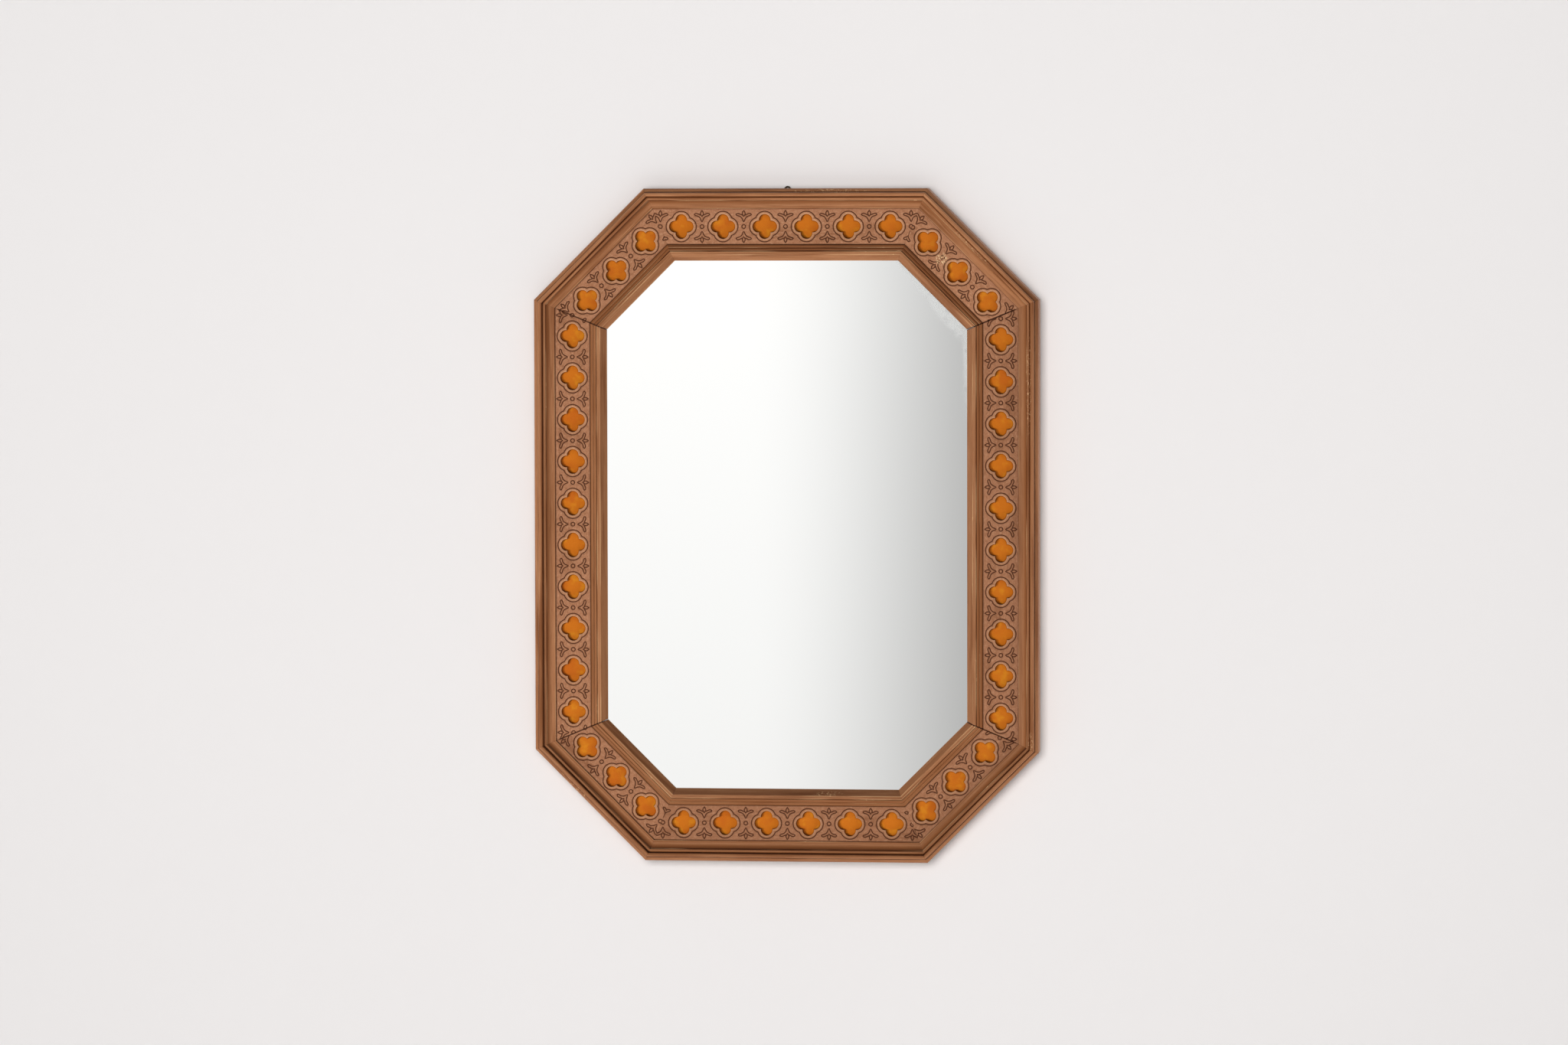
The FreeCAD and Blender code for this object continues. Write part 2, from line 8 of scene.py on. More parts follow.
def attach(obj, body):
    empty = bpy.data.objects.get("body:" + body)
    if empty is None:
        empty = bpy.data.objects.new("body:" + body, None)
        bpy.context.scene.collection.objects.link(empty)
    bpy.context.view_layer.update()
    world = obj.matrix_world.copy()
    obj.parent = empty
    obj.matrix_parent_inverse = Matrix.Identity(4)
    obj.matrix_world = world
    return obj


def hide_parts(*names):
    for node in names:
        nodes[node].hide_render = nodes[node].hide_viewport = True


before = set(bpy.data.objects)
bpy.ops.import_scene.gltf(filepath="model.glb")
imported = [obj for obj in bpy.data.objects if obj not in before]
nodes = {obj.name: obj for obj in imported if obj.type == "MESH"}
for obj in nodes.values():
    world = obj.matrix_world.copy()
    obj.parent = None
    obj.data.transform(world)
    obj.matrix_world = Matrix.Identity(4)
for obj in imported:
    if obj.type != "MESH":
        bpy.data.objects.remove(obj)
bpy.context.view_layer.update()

scene = bpy.context.scene
scene.view_settings.view_transform = "Standard"
mm = 0.001


# a socket with arithmetic; node() makes any other node in the same tree
class Wire:
    def __init__(self, tree, socket=None):
        self.tree = tree
        self.socket = socket

    def node(self, kind, settings=None, sockets=None, out=0):
        made = self.tree.nodes.new(kind)
        for name, value in (settings or {}).items():
            setattr(made, name, value)
        for key, value in (sockets or {}).items():
            for part in value if isinstance(value, list) else [value]:
                if isinstance(part, Wire):
                    self.tree.links.new(part.socket, made.inputs[key])
                else:
                    made.inputs[key].default_value = part
        return Wire(self.tree, made.outputs[out] if len(made.outputs) else None)

    def math(self, operation, *parts):
        return self.node("ShaderNodeMath", {"operation": operation}, dict(enumerate(parts)))

    # x, y and z of a vector
    def parts(self):
        split = self.node("ShaderNodeSeparateXYZ", None, {0: self}).socket.node
        return [Wire(self.tree, part) for part in split.outputs]

    def __add__(self, other):
        return self.math("ADD", self, other)

    def __sub__(self, other):
        return self.math("SUBTRACT", self, other)

    def __rsub__(self, other):
        return self.math("SUBTRACT", other, self)

    def __mul__(self, other):
        return self.math("MULTIPLY", self, other)

    def __truediv__(self, other):
        return self.math("DIVIDE", self, other)

    def __rtruediv__(self, other):
        return self.math("DIVIDE", other, self)

    __radd__ = __add__
    __rmul__ = __mul__


# colour as it looks on screen, made linear
def paint(red, green, blue):
    levels = [level / 255 for level in (red, green, blue)]
    linear = [level / 12.92 if level <= 0.04045 else ((level + 0.055) / 1.055) ** 2.4 for level in levels]
    return tuple(linear) + (1,)


def newFinish(name):
    material = bpy.data.materials.new(name)
    material.use_nodes = True
    return material, Wire(material.node_tree), material.node_tree.nodes["Principled BSDF"]


def feed(shader, values):
    for name, value in values.items():
        if isinstance(value, Wire):
            value.tree.links.new(value.socket, shader.inputs[name])
        else:
            shader.inputs[name].default_value = value


def blend(first, second, share):
    return share.node("ShaderNodeMix", {"data_type": "RGBA"}, {0: share, 6: first, 7: second}, 2)


def rise(value, low, high):
    return value.node("ShaderNodeMapRange", {"interpolation_type": "SMOOTHSTEP"}, {0: value, 1: low, 2: high})


# lays a colour over another where the mask climbs from low to high
def wash(colour, top, mask, low, high, share=1):
    cover = rise(mask, low, high)
    return blend(colour, top, cover if share == 1 else cover * share)


def stretched(place, scales):
    return place.node("ShaderNodeVectorMath", {"operation": "MULTIPLY"}, {0: place, 1: scales})


def cloud(place, scales, detail=2.0, roughness=0.5):
    spot = stretched(place, scales)
    sockets = {"Vector": spot, "Scale": 1.0, "Detail": detail, "Roughness": roughness}
    return place.node("ShaderNodeTexNoise", None, sockets)


def objectPlace(wire):
    return wire.node("ShaderNodeTexCoord", None, None, "Object")


def mark(wire, name, out=2):
    return wire.node("ShaderNodeAttribute", {"attribute_name": name}, None, out)


def bump(height, strength, distance):
    return height.node("ShaderNodeBump", None, {"Height": height, "Strength": strength, "Distance": distance})


def newTree(name, inputs):
    tree = bpy.data.node_groups.new(name, "GeometryNodeTree")
    for label, kind in inputs:
        tree.interface.new_socket(label, in_out="INPUT", socket_type="NodeSocket" + kind)
    tree.interface.new_socket("Geometry", in_out="OUTPUT", socket_type="NodeSocketGeometry")
    start = tree.nodes.new("NodeGroupInput")
    wire = Wire(tree)
    return wire, {label: Wire(tree, start.outputs[label]) for label, kind in inputs}


def closeTree(wire, shape, material):
    real = wire.node("GeometryNodeRealizeInstances", None, {"Geometry": shape})
    coated = wire.node("GeometryNodeSetMaterial", None, {"Geometry": real, "Material": material})
    wire.node("NodeGroupOutput", None, {"Geometry": coated})
    return wire.tree


# runs a tree with its inputs set by identifier and hands back the plain mesh
def grow(name, tree, values):
    carrier = bpy.data.objects.new(name, bpy.data.meshes.new(name))
    scene.collection.objects.link(carrier)
    modifier = carrier.modifiers.new("shape", "NODES")
    modifier.node_group = tree
    for item in tree.interface.items_tree:
        if item.in_out == "INPUT":
            modifier[item.identifier] = values[item.name]
    graph = bpy.context.evaluated_depsgraph_get()
    shaped = carrier.evaluated_get(graph)
    mesh = bpy.data.meshes.new_from_object(shaped, preserve_all_data_layers=True, depsgraph=graph)
    carrier.modifiers.clear()
    bpy.data.objects.remove(carrier)
    return mesh


def helper(name, mesh):
    thing = bpy.data.objects.new(name, mesh)
    scene.collection.objects.link(thing)
    return thing


# a finished piece at the origin that stands for a CAD node of the frame
def fit(name, mesh, node):
    mesh.name = name
    piece = bpy.data.objects.new(name, mesh)
    scene.collection.objects.link(piece)
    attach(piece, "frame")
    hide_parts(node)
    return piece


def smooth(mesh, degrees):
    mesh.polygons.foreach_set("use_smooth", [True] * len(mesh.polygons))
    mesh.set_sharp_from_angle(angle=math.radians(degrees))


def keepValues(mesh, name, values):
    mesh.attributes.new(name, "FLOAT", "POINT").data.foreach_set("value", values)


def ease(value):
    value = min(1, max(0, value))
    return value * value * (3 - 2 * value)


# where the eight rails lie, in mm; open mitres start at gapStarts from the outer edge, a tight one keeps its
# dark line shutEnd away, and grainStep, in metres, sets the wood of one rail apart from the next
outline = {"width": 618, "height": 822, "leg": 135.5, "top": -0.8, "railWidth": 88,
           "mitre": math.tan(math.radians(22.5)), "gapStarts": 27.0, "shutEnd": 0.6, "grainStep": 3.7}
midHeight = outline["top"] - outline["height"] / 2
shortSide = outline["width"] - 2 * outline["leg"]
longSide = outline["height"] - 2 * outline["leg"]
slantSide = outline["leg"] * math.sqrt(2)
halfWide = outline["width"] / 2
halfHigh = outline["height"] / 2
slantX = halfWide - outline["leg"] / 2
slantZ = halfHigh - outline["leg"] / 2
# each rail: name, outer length, turn, middle of its outer edge in x and z, slip and count of the pattern,
# open mitre at either end, darkening by painted shade and tone, and painted light on the cove and inner reeds
rails = [
    ("bottom_rail", shortSide, 0, 0, -halfHigh, 0.9, 6, (0, 0), 0.3, (0, 0.8)),
    ("lower_right_rail", slantSide, 45, slantX, -slantZ, -2, 3, (0, 0.3), 0.24, (0, 0.7)),
    ("right_stile", longSide, 90, halfWide, 0, -3.3, 10, (0.3, 0.35), 0.18, (0.5, 0.3)),
    ("upper_right_rail", slantSide, 135, slantX, slantZ, -2, 3, (0.35, 0), 0, (0.9, 0)),
    ("top_rail", shortSide, 180, 0, halfHigh, 0, 6, (0, 0), 0, (0.2, 0)),
    ("upper_left_rail", slantSide, 225, -slantX, slantZ, -0.3, 3, (0, 0.25), 0.05, (0.2, 0.4)),
    ("left_stile", longSide, 270, -halfWide, 0, -0.8, 10, (0.25, 0.25), 0.08, (0.6, 0.9)),
    ("lower_left_rail", slantSide, 315, -slantX, -slantZ, -2.2, 3, (0.25, 0), 0.16, (0, 0.9)),
]


# rail's own axes, along and inward and forward in mm, to the frame in metres
def railMatrix(degrees, x, z):
    turn = math.radians(degrees)
    along = Vector((math.cos(turn), 0, math.sin(turn)))
    inward = Vector((-math.sin(turn), 0, math.cos(turn)))
    front = Vector((0, -1, 0))
    place = Matrix.Translation(Vector((x, 0, z + midHeight)) * mm)
    return place @ Matrix((along, inward, front)).transposed().to_4x4() @ Matrix.Scale(mm, 4)


# keeps on each point its place in the wood of its rail, how far off the mitre is, and its painted shade and
# light
def keepPlace(mesh, order, length, gaps, age, polish):
    middle = outline["railWidth"] / 2
    places, ends, wearAndPaintedLight = [], [], []
    for vertex in mesh.vertices:
        along, across, front = vertex.co
        places += [along * mm + order * outline["grainStep"], across * mm, front * mm]
        loose = gaps[0] if along < 0 else gaps[1]
        closed = outline["shutEnd"] if across < outline["gapStarts"] or not loose else -loose
        ends.append((length / 2 - across * outline["mitre"] - abs(along) + closed) * mm)
        # painted light that lifts the painted shade on the outer half, over the cove, or the inner half, over
        # the reeds
        wearAndPaintedLight.append(polish[0] if across < middle else polish[1])
    mesh.attributes.new("railPlace", "FLOAT_VECTOR", "POINT").data.foreach_set("vector", places)
    keepValues(mesh, "endGap", ends)
    keepValues(mesh, "age", [age] * len(ends))
    keepValues(mesh, "polish", wearAndPaintedLight)


# moulded rails: softened arrises, how finely the section is cut up, waver of the planed faces, where open
# mitres ease in, and the painted shade that darkens quirks, its weight, felt for with rays of this reach
moulding = {"arris": 0.3, "arrisAngle": 35, "arrisSteps": 3, "arrisRoom": 0.45, "leastArris": 0.05,
            "step": 0.7, "coarseStep": 6, "hiddenBelow": 15, "arcStep": 0.5, "stations": 24, "weld": 0.001,
            "sharpAngle": 28, "waver": 0.09, "waverScale": (0.012, 0.05, 0.05), "waverStarts": 5.0,
            "waverFull": 20.0, "seedStep": 3.1, "gapEase": 6, "gapLow": 9.0, "gapHigh": 17.0, "reach": 5,
            "rays": 24, "rayStart": 0.02, "shadeWeight": 1.4}
# its members from the outer edge inwards, across and forward: arcs as two points and a radius, the bead as
# its centre and radius, the astragal as its two sides, level and height
members = {"foot": [(0, 0.26)], "shoulder": ((0, 27.6), (4.2, 31), 6),
           "shoulderQuirk": [(4.2, 30.2), (4.8, 30.2)], "bead": ((7.3, 33.5), 2.5), "beadQuirk": [(9.8, 30)],
           "astragal": (10.3, 14.2, 30, 1.1), "astragalQuirk": [(14.2, 28.6)],
           "cove": ((14.8, 28.6), (22.6, 24), 8),
           "channel": [(24.5, 24), (24.5, 16.5), (68, 16.5)], "reed": ((68, 20.4), (72, 22.3), 2.9),
           "reedQuirk": [(72.2, 21.9)], "innerReed": ((72.5, 21.9), (75.8, 23.4), 2.3),
           "crest": [(76, 23), (76.8, 24.4), (80.6, 24.4)], "sightEdge": [(87.5, 15.4), (88, 15), (88, 14)],
           "rabbet": [(80, 14), (80, 0.06), (0.2, 0.06)]}


def arc(centre, radius, start, end):
    count = max(4, int(abs(end - start) * radius / moulding["arcStep"]))
    turns = [start + (end - start) * index / count for index in range(count + 1)]
    x, y = centre
    return [Vector((x + radius * math.cos(turn), y + radius * math.sin(turn))) for turn in turns]


def arcBetween(start, end, radius, side):
    start, end = Vector(start), Vector(end)
    chord = end - start
    across = Vector((-chord.y, chord.x)).normalized()
    centre = (start + end) / 2 + across * side * math.sqrt(radius ** 2 - chord.length_squared / 4)
    first = math.atan2(start.y - centre.y, start.x - centre.x)
    last = math.atan2(end.y - centre.y, end.x - centre.x)
    while (last - first) * side < 0:
        last += 2 * math.pi * side
    return arc(centre, radius, first, last)


def swell(start, end, level, height):
    width = end - start
    return arcBetween((start, level), (end, level), (width * width / 4 + height * height) / (2 * height), -1)


# the section with sharp corners first, then with its arrises softened and its long spans divided
def railSection():
    sharp = members["foot"] + arcBetween(*members["shoulder"], -1) + members["shoulderQuirk"]
    sharp += arc(*members["bead"], math.pi, 0) + members["beadQuirk"]
    sharp += swell(*members["astragal"]) + members["astragalQuirk"]
    sharp += arcBetween(*members["cove"], 1) + members["channel"]
    sharp += arcBetween(*members["reed"], -1) + members["reedQuirk"]
    sharp += arcBetween(*members["innerReed"], -1) + members["crest"]
    sharp += members["sightEdge"] + members["rabbet"]
    corners = [Vector(point) for point in sharp]
    soft = []
    for index, corner in enumerate(corners):
        before, after = corners[index - 1], corners[(index + 1) % len(corners)]
        arrive, leave = corner - before, after - corner
        bend = arrive.angle_signed(leave) if arrive.length and leave.length else 0
        cut = min(moulding["arris"], min(arrive.length, leave.length) * moulding["arrisRoom"])
        if bend > math.radians(moulding["arrisAngle"]) and cut > moulding["leastArris"]:
            first, last = corner - arrive.normalized() * cut, corner + leave.normalized() * cut
            for step in range(moulding["arrisSteps"] + 1):
                share = step / moulding["arrisSteps"]
                soft.append((first.lerp(corner, share).lerp(corner.lerp(last, share), share), 1))
        else:
            soft.append((corner, 0))
    section = []
    for index, (point, worn) in enumerate(soft):
        following = soft[(index + 1) % len(soft)][0]
        hidden = point.y < moulding["hiddenBelow"] or max(point.x, following.x) < 0.01
        step = moulding["coarseStep"] if hidden else moulding["step"]
        pieces = int((following - point).length / step) + 1
        section.append((point, worn))
        section += [(point.lerp(following, piece / pieces), 0) for piece in range(1, pieces)]
    return section


# how enclosed each point of the section is, from 0 in the open to about 0.7 in a quirk: it sets painted shade
def occlusionShade(points):
    walls = list(zip(points, points[1:] + points[:1]))
    shares = []
    for index, point in enumerate(points):
        tangent = points[(index + 1) % len(points)] - points[index - 1]
        normal = Vector((-tangent.y, tangent.x)).normalized()
        start = point + normal * moulding["rayStart"]
        stopped = 0
        for ray in range(moulding["rays"]):
            turn = (ray + 0.5) / moulding["rays"] * math.pi - math.pi / 2
            way = Vector((normal.x * math.cos(turn) - normal.y * math.sin(turn),
                          normal.x * math.sin(turn) + normal.y * math.cos(turn)))
            end = start + way * moulding["reach"]
            hits = (geometry.intersect_line_line_2d(start, end, first, last) for first, last in walls)
            reached = [(hit - start).length for hit in hits if hit is not None]
            if reached:
                stopped += (1 - min(reached) / moulding["reach"]) ** 0.5 * math.cos(turn)
        shares.append(stopped / moulding["rays"] * math.pi / 2)
    return shares


# painted shade, with some stain, darkens the face along lines (place across the rail, reach to either side,
# strength) and over bands (both sides, strength at each), in the quirks, the cove and the inner reeds
stainAndShadeMarks = {"lines": [(4.5, 0.8, 0.6), (10, 0.9, 0.9), (14.6, 1.2, 1), (22.6, 0.7, 0.5), (24.3, 1.1, 0.6),
                    (68.2, 1.2, 0.9), (72.3, 1.1, 0.8), (76, 1.6, 1)],
          "bands": [(14.4, 20.5, 0.85, 0.1), (67.6, 76.9, 0.66, 0.6)], "faceFrom": 17, "edgeFrom": 27}


def stainAndShade(point):
    if point.y < stainAndShadeMarks["faceFrom"] or (point.x < 1 and point.y < stainAndShadeMarks["edgeFrom"]):
        return 0
    lines = [strength * ease(1 - abs(point.x - place) / reach) for place, reach, strength in stainAndShadeMarks["lines"]]
    bands = [first + (last - first) * (point.x - start) / (end - start)
             for start, end, first, last in stainAndShadeMarks["bands"] if start < point.x < end]
    return max(lines + bands)


def sectionMesh():
    section = railSection()
    points = [point for point, worn in section]
    mesh = bpy.data.meshes.new("railSection")
    mesh.from_pydata([(0, point.x, point.y) for point in points], [], [list(range(len(points)))])
    # painted shade from how enclosed each point is, or the painted shade and stain of the lines and bands
    dark = [max(shut * moulding["shadeWeight"], stainAndShade(point)) for shut, point in zip(occlusionShade(points), points)]
    keepValues(mesh, "shut", dark)
    keepValues(mesh, "arris", [float(worn) for point, worn in section])
    return mesh


# sweeps the section between two mitres: a grid whose rows take the section's points, and the section as caps
def mouldingTree():
    wire, given = newTree("sweptMoulding", [
        ("Section", "Object"), ("Section points", "Int"), ("Stations", "Int"), ("Length", "Float"),
        ("Mitre", "Float"), ("Start gap", "Float"), ("End gap", "Float"), ("Gap starts", "Float"),
        ("Waver", "Float"), ("Seed", "Float"), ("Finish", "Material")])
    section = wire.node("GeometryNodeObjectInfo", None, {"Object": given["Section"]}, "Geometry")
    rows = given["Section points"] + 1
    grid = wire.node("GeometryNodeMeshGrid", None, {"Vertices X": given["Stations"], "Vertices Y": rows})
    index = wire.node("GeometryNodeInputIndex")
    row = wire.math("MODULO", wire.math("MODULO", index, rows), given["Section points"])
    station = wire.math("FLOOR", (index + 0.5) / rows) / (given["Stations"] - 1)
    position = wire.node("GeometryNodeInputPosition")

    def taken(kind, value):
        settings = {"data_type": kind, "domain": "POINT"}
        sockets = {"Geometry": section, "Value": value, "Index": row}
        return wire.node("GeometryNodeSampleIndex", settings, sockets)

    def named(name):
        return wire.node("GeometryNodeInputNamedAttribute", {"data_type": "FLOAT"}, {"Name": name})

    def placed(spot, share):
        across, up = spot.parts()[1:]
        end = given["Length"] * 0.5 - across * given["Mitre"]
        eased = rise(across, given["Gap starts"], given["Gap starts"] + moulding["gapEase"])
        inner = eased * rise(up, moulding["gapLow"], moulding["gapHigh"])
        low = given["Start gap"] * inner - end
        high = end - given["End gap"] * inner
        along = low + (high - low) * share
        return wire.node("ShaderNodeCombineXYZ", None, {0: along, 1: across, 2: up})

    swept = wire.node("GeometryNodeSetPosition", None,
                      {"Geometry": grid, "Position": placed(taken("FLOAT_VECTOR", position), station)})
    # carries the painted shade and stain of the section, and its worn arrises
    for name in ("shut", "arris"):
        swept = wire.node("GeometryNodeStoreNamedAttribute", {"data_type": "FLOAT", "domain": "POINT"},
                          {"Geometry": swept, "Name": name, "Value": taken("FLOAT", named(name))})
    start, end = placed(position, 0), placed(position, 1)
    startCap = wire.node("GeometryNodeSetPosition", None, {"Geometry": section, "Position": start})
    endCap = wire.node("GeometryNodeSetPosition", None, {"Geometry": section, "Position": end})
    endCap = wire.node("GeometryNodeFlipFaces", None, {"Mesh": endCap})
    whole = wire.node("GeometryNodeJoinGeometry", None, {"Geometry": [swept, startCap, endCap]})
    whole = wire.node("GeometryNodeMergeByDistance", None, {"Geometry": whole, "Distance": moulding["weld"]})
    spot = stretched(position, moulding["waverScale"])
    noisy = wire.node("ShaderNodeTexNoise", {"noise_dimensions": "4D"},
                      {"Vector": spot, "W": given["Seed"], "Scale": 1.0}, "Color")
    planed = rise(position.parts()[1], moulding["waverStarts"], moulding["waverFull"])
    waver = (noisy.parts()[0] - 0.5) * given["Waver"] * planed
    inward = wire.node("ShaderNodeCombineXYZ", None, {1: waver})
    shaped = wire.node("GeometryNodeSetPosition", None, {"Geometry": whole, "Offset": inward})
    return closeTree(wire, shaped, given["Finish"])


# engraved frieze: one quarter of a repeat is drawn, then mirrored, repeated and cut at the mitres
# opening and groove are four lobes each: how far out their centres lie and their radius
# lipLines, in mm off the opening, and grooveLines, in shares of a groove's width, are where the faces divide
frieze = {"pitch": 51.2, "line": 46.25, "halfWidth": 21.65, "face": 22, "back": 17.5, "opening": (7.9, 7.2),
          "groove": (7.25, 11.3), "ring": 2.3, "lineWidth": 2, "flatShare": 0.25, "depth": 0.8,
          "lipWidth": 1.5, "lipDrop": 0.8, "lipReach": 3, "edgeDrop": 0.18,
          "lipLines": (0, 0.05, 0.2, 0.5, 0.95, 1.5), "grooveLines": (-0.5, -0.12, 0.12, 0.5), "step": 0.9,
          "axisStep": 0.8, "endStep": 0.6, "sideStep": 3, "ringParts": 6, "columns": 12, "rows": 10,
          "snap": 0.001, "rimSlack": 0.002, "rimReach": 0.02, "rimInside": 0.01, "axisClear": 0.05,
          "weld": 0.002, "sharpAngle": 38, "waver": 0.16, "waverScale": (0.16, 0.16, 0.02),
          "waverShares": (1, 0.4, 0.1), "seedStep": 2.3, "firstSeed": 11}
# one side of the lily's three lines, out from the small circle
lily = [
    [(0, 6), (0.7, 6.7), (1.3, 8.2), (2.1, 10), (3.4, 11.6), (5.1, 12.6), (6.9, 13.1), (8.5, 13.6),
     (9.4, 14.6)],
    [(9.4, 14.6), (8.8, 15.5), (7.4, 16), (5.9, 15.8), (4.5, 15.2), (3.1, 14.5), (1.6, 14)],
    [(0, 12.4), (1.1, 13.9), (1.9, 15.9), (1.3, 17.6), (0.5, 18.9), (0, 19.5)],
]


def lobeMeet(lobes):
    out, radius = lobes
    return (out + math.sqrt(2 * radius ** 2 - out ** 2)) / 2


# distance outwards from a four-lobed line, negative inside it
def lobeGap(point, lobes):
    out, radius = lobes
    meet = lobeMeet(lobes)
    if point[0] < meet and point[1] < meet:
        return -math.hypot(meet - point[0], meet - point[1])
    return min(math.hypot(point[0] - out, point[1]), math.hypot(point[0], point[1] - out)) - radius


# quarter of a four-lobed line, some way outside it
def lobedLine(lobes, gap):
    out, radius = lobes[0], lobes[1] + gap
    meet = lobeMeet((out, radius))
    stop = math.atan2(meet, meet - out)
    count = max(6, int(stop * radius / frieze["step"]))
    half = [(out + radius * math.cos(stop * index / count), radius * math.sin(stop * index / count))
            for index in range(count + 1)]
    return half + [(y, x) for x, y in reversed(half[:-1])]


def alongLine(points, step):
    spots = [Vector(points[0])]
    for first, last in zip(points, points[1:]):
        first, last = Vector(first), Vector(last)
        count = max(1, round((last - first).length / step))
        spots += [first.lerp(last, index / count) for index in range(1, count + 1)]
    return spots


def besideLine(points, gap):
    spots = alongLine(points, frieze["step"])
    moved = []
    for index, spot in enumerate(spots):
        way = (spots[min(index + 1, len(spots) - 1)] - spots[max(index - 1, 0)]).normalized()
        moved.append(spot + Vector((-way.y, way.x)) * gap)
    return moved


def grooveGap(point):
    half = frieze["pitch"] / 2
    ringGap = abs(math.hypot(point[0] - half, point[1]) - frieze["ring"])
    gaps = [abs(lobeGap(point, frieze["groove"])), ringGap]
    spot = Vector((half - point[0], point[1]))
    for line in lily:
        for first, last in zip(line, line[1:]):
            near, share = geometry.intersect_point_line(spot, Vector(first), Vector(last))
            near = Vector(first).lerp(Vector(last), min(1, max(0, share)))
            gaps.append((spot - near.to_2d()).length)
    return min(gaps)


# height below the face, darkness of the groove, and nearness to the opening for the painted highlight on the
# lip, at a point of the quarter
def carved(point):
    half, flat = frieze["lineWidth"] / 2, frieze["flatShare"]
    groove = 1 - ease((grooveGap(point) - half * flat) / (half * (1 - flat)))
    gap = max(0, lobeGap(point, frieze["opening"]))
    inward = max(0, 1 - gap / frieze["lipWidth"])
    roll = frieze["lipDrop"] * (1 - math.sqrt(1 - inward ** 2))
    return -groove * frieze["depth"] - roll, groove, ease(1 - gap / frieze["lipReach"])


# lines that the quarter's faces keep to: round the opening, along the grooves, then its own sides
def quarterLines():
    half, side, width = frieze["pitch"] / 2, frieze["halfWidth"], frieze["lineWidth"]
    lines = [lobedLine(frieze["opening"], gap) for gap in frieze["lipLines"]]
    lines += [lobedLine(frieze["groove"], width * share) for share in frieze["grooveLines"]]
    parts = frieze["ringParts"]
    turns = [math.pi / 2 * (1 + index / parts) for index in range(parts + 1)]
    for share in frieze["grooveLines"]:
        radius = frieze["ring"] + width * share
        lines.append([(half + radius * math.cos(turn), radius * math.sin(turn)) for turn in turns])
        for line in lily:
            beside = besideLine(line, width * share)
            lines.append([(half - spot.x, spot.y) for spot in beside if spot.x > frieze["axisClear"]])
    tip = sum(frieze["opening"])
    sides = [((half, 0), (half, side), "endStep"), ((half, side), (0, side), "sideStep"),
             ((tip, 0), (half, 0), "axisStep"), ((0, tip), (0, side), "axisStep")]
    return lines + [alongLine([first, last], frieze[step]) for first, last, step in sides]


def snapped(value, far):
    value = min(far, max(0, value))
    return 0 if value < frieze["snap"] else far if far - value < frieze["snap"] else value


def middleOf(spots, face):
    return sum((spots[index] for index in face), Vector((0, 0))) / len(face)


def quarterMesh():
    half, side = frieze["pitch"] / 2, frieze["halfWidth"]
    spots, joins = [], []
    for line in quarterLines():
        first = len(spots)
        spots += [Vector((point[0], point[1])) for point in line]
        joins += [(index, index + 1) for index in range(first, len(spots) - 1)]
    for column in range(1, frieze["columns"]):
        for row in range(1, frieze["rows"]):
            spots.append(Vector((column * half / frieze["columns"], row * side / frieze["rows"])))
    known = [spot for spot in spots if lobeGap(spot, frieze["opening"]) >= -frieze["rimInside"]]
    places = {id(spot): index for index, spot in enumerate(known)}
    joins = [(places[id(spots[first])], places[id(spots[last])]) for first, last in joins]
    cut = geometry.delaunay_2d_cdt(known, joins, [], 0, 1e-4)
    made, faces = cut[0], cut[2]
    shape = bmesh.new()
    groove = shape.verts.layers.float.new("groove")
    lip = shape.verts.layers.float.new("lip")
    sawn = shape.verts.layers.float.new("sawn")
    top = []
    for spot in made:
        x, y = snapped(spot.x, half), snapped(spot.y, side)
        low, dark, rounded = carved((x, y))
        edgeDrop = frieze["edgeDrop"] if y == side else 0
        vertex = shape.verts.new((x, y, frieze["face"] + low - edgeDrop))
        vertex[groove], vertex[lip] = dark, rounded
        top.append(vertex)
    for face in faces:
        middle = middleOf(made, face)
        within = middle.y < side and middle.x < half
        if within and lobeGap(middle, frieze["opening"]) > frieze["rimSlack"]:
            shape.faces.new([top[index] for index in face])
    shape.normal_update()
    for face in shape.faces:
        if face.normal.z < 0:
            face.normal_flip()
    # walls of the opening and of the long side, then the underside
    rim = [join for join in shape.edges if len(join.link_faces) == 1]
    lower = {}

    def below(vertex):
        if vertex not in lower:
            lower[vertex] = shape.verts.new((vertex.co.x, vertex.co.y, frieze["back"]))
            # the lower points take painted shade
            lower[vertex][sawn] = 1
        return lower[vertex]

    for join in rim:
        first, last = join.verts
        onSide = first.co.y == side and last.co.y == side
        offLobe = [abs(lobeGap(vertex.co, frieze["opening"])) for vertex in join.verts]
        if onSide or max(offLobe) < frieze["rimReach"]:
            here, there = join.link_loops[0].vert, join.link_loops[0].link_loop_next.vert
            shape.faces.new([there, here, below(here), below(there)])
    flat = [vertex.co.to_2d() for vertex in lower.values()] + [Vector((half, 0))]
    under = list(lower.values()) + [shape.verts.new((half, 0, frieze["back"]))]
    upper = list(lower)
    links = [[upper.index(vertex) for vertex in join.verts]
             for join in rim if all(vertex in lower for vertex in join.verts)]
    cut = geometry.delaunay_2d_cdt(flat, links, [], 0, 1e-5)
    made, faces, origin = cut[0], cut[2], cut[3]
    for face in faces:
        if lobeGap(middleOf(made, face), frieze["opening"]) > frieze["rimSlack"]:
            shape.faces.new([under[origin[index][0]] for index in reversed(face)])
    mesh = bpy.data.meshes.new("friezeQuarter")
    shape.to_mesh(mesh)
    shape.free()
    return mesh


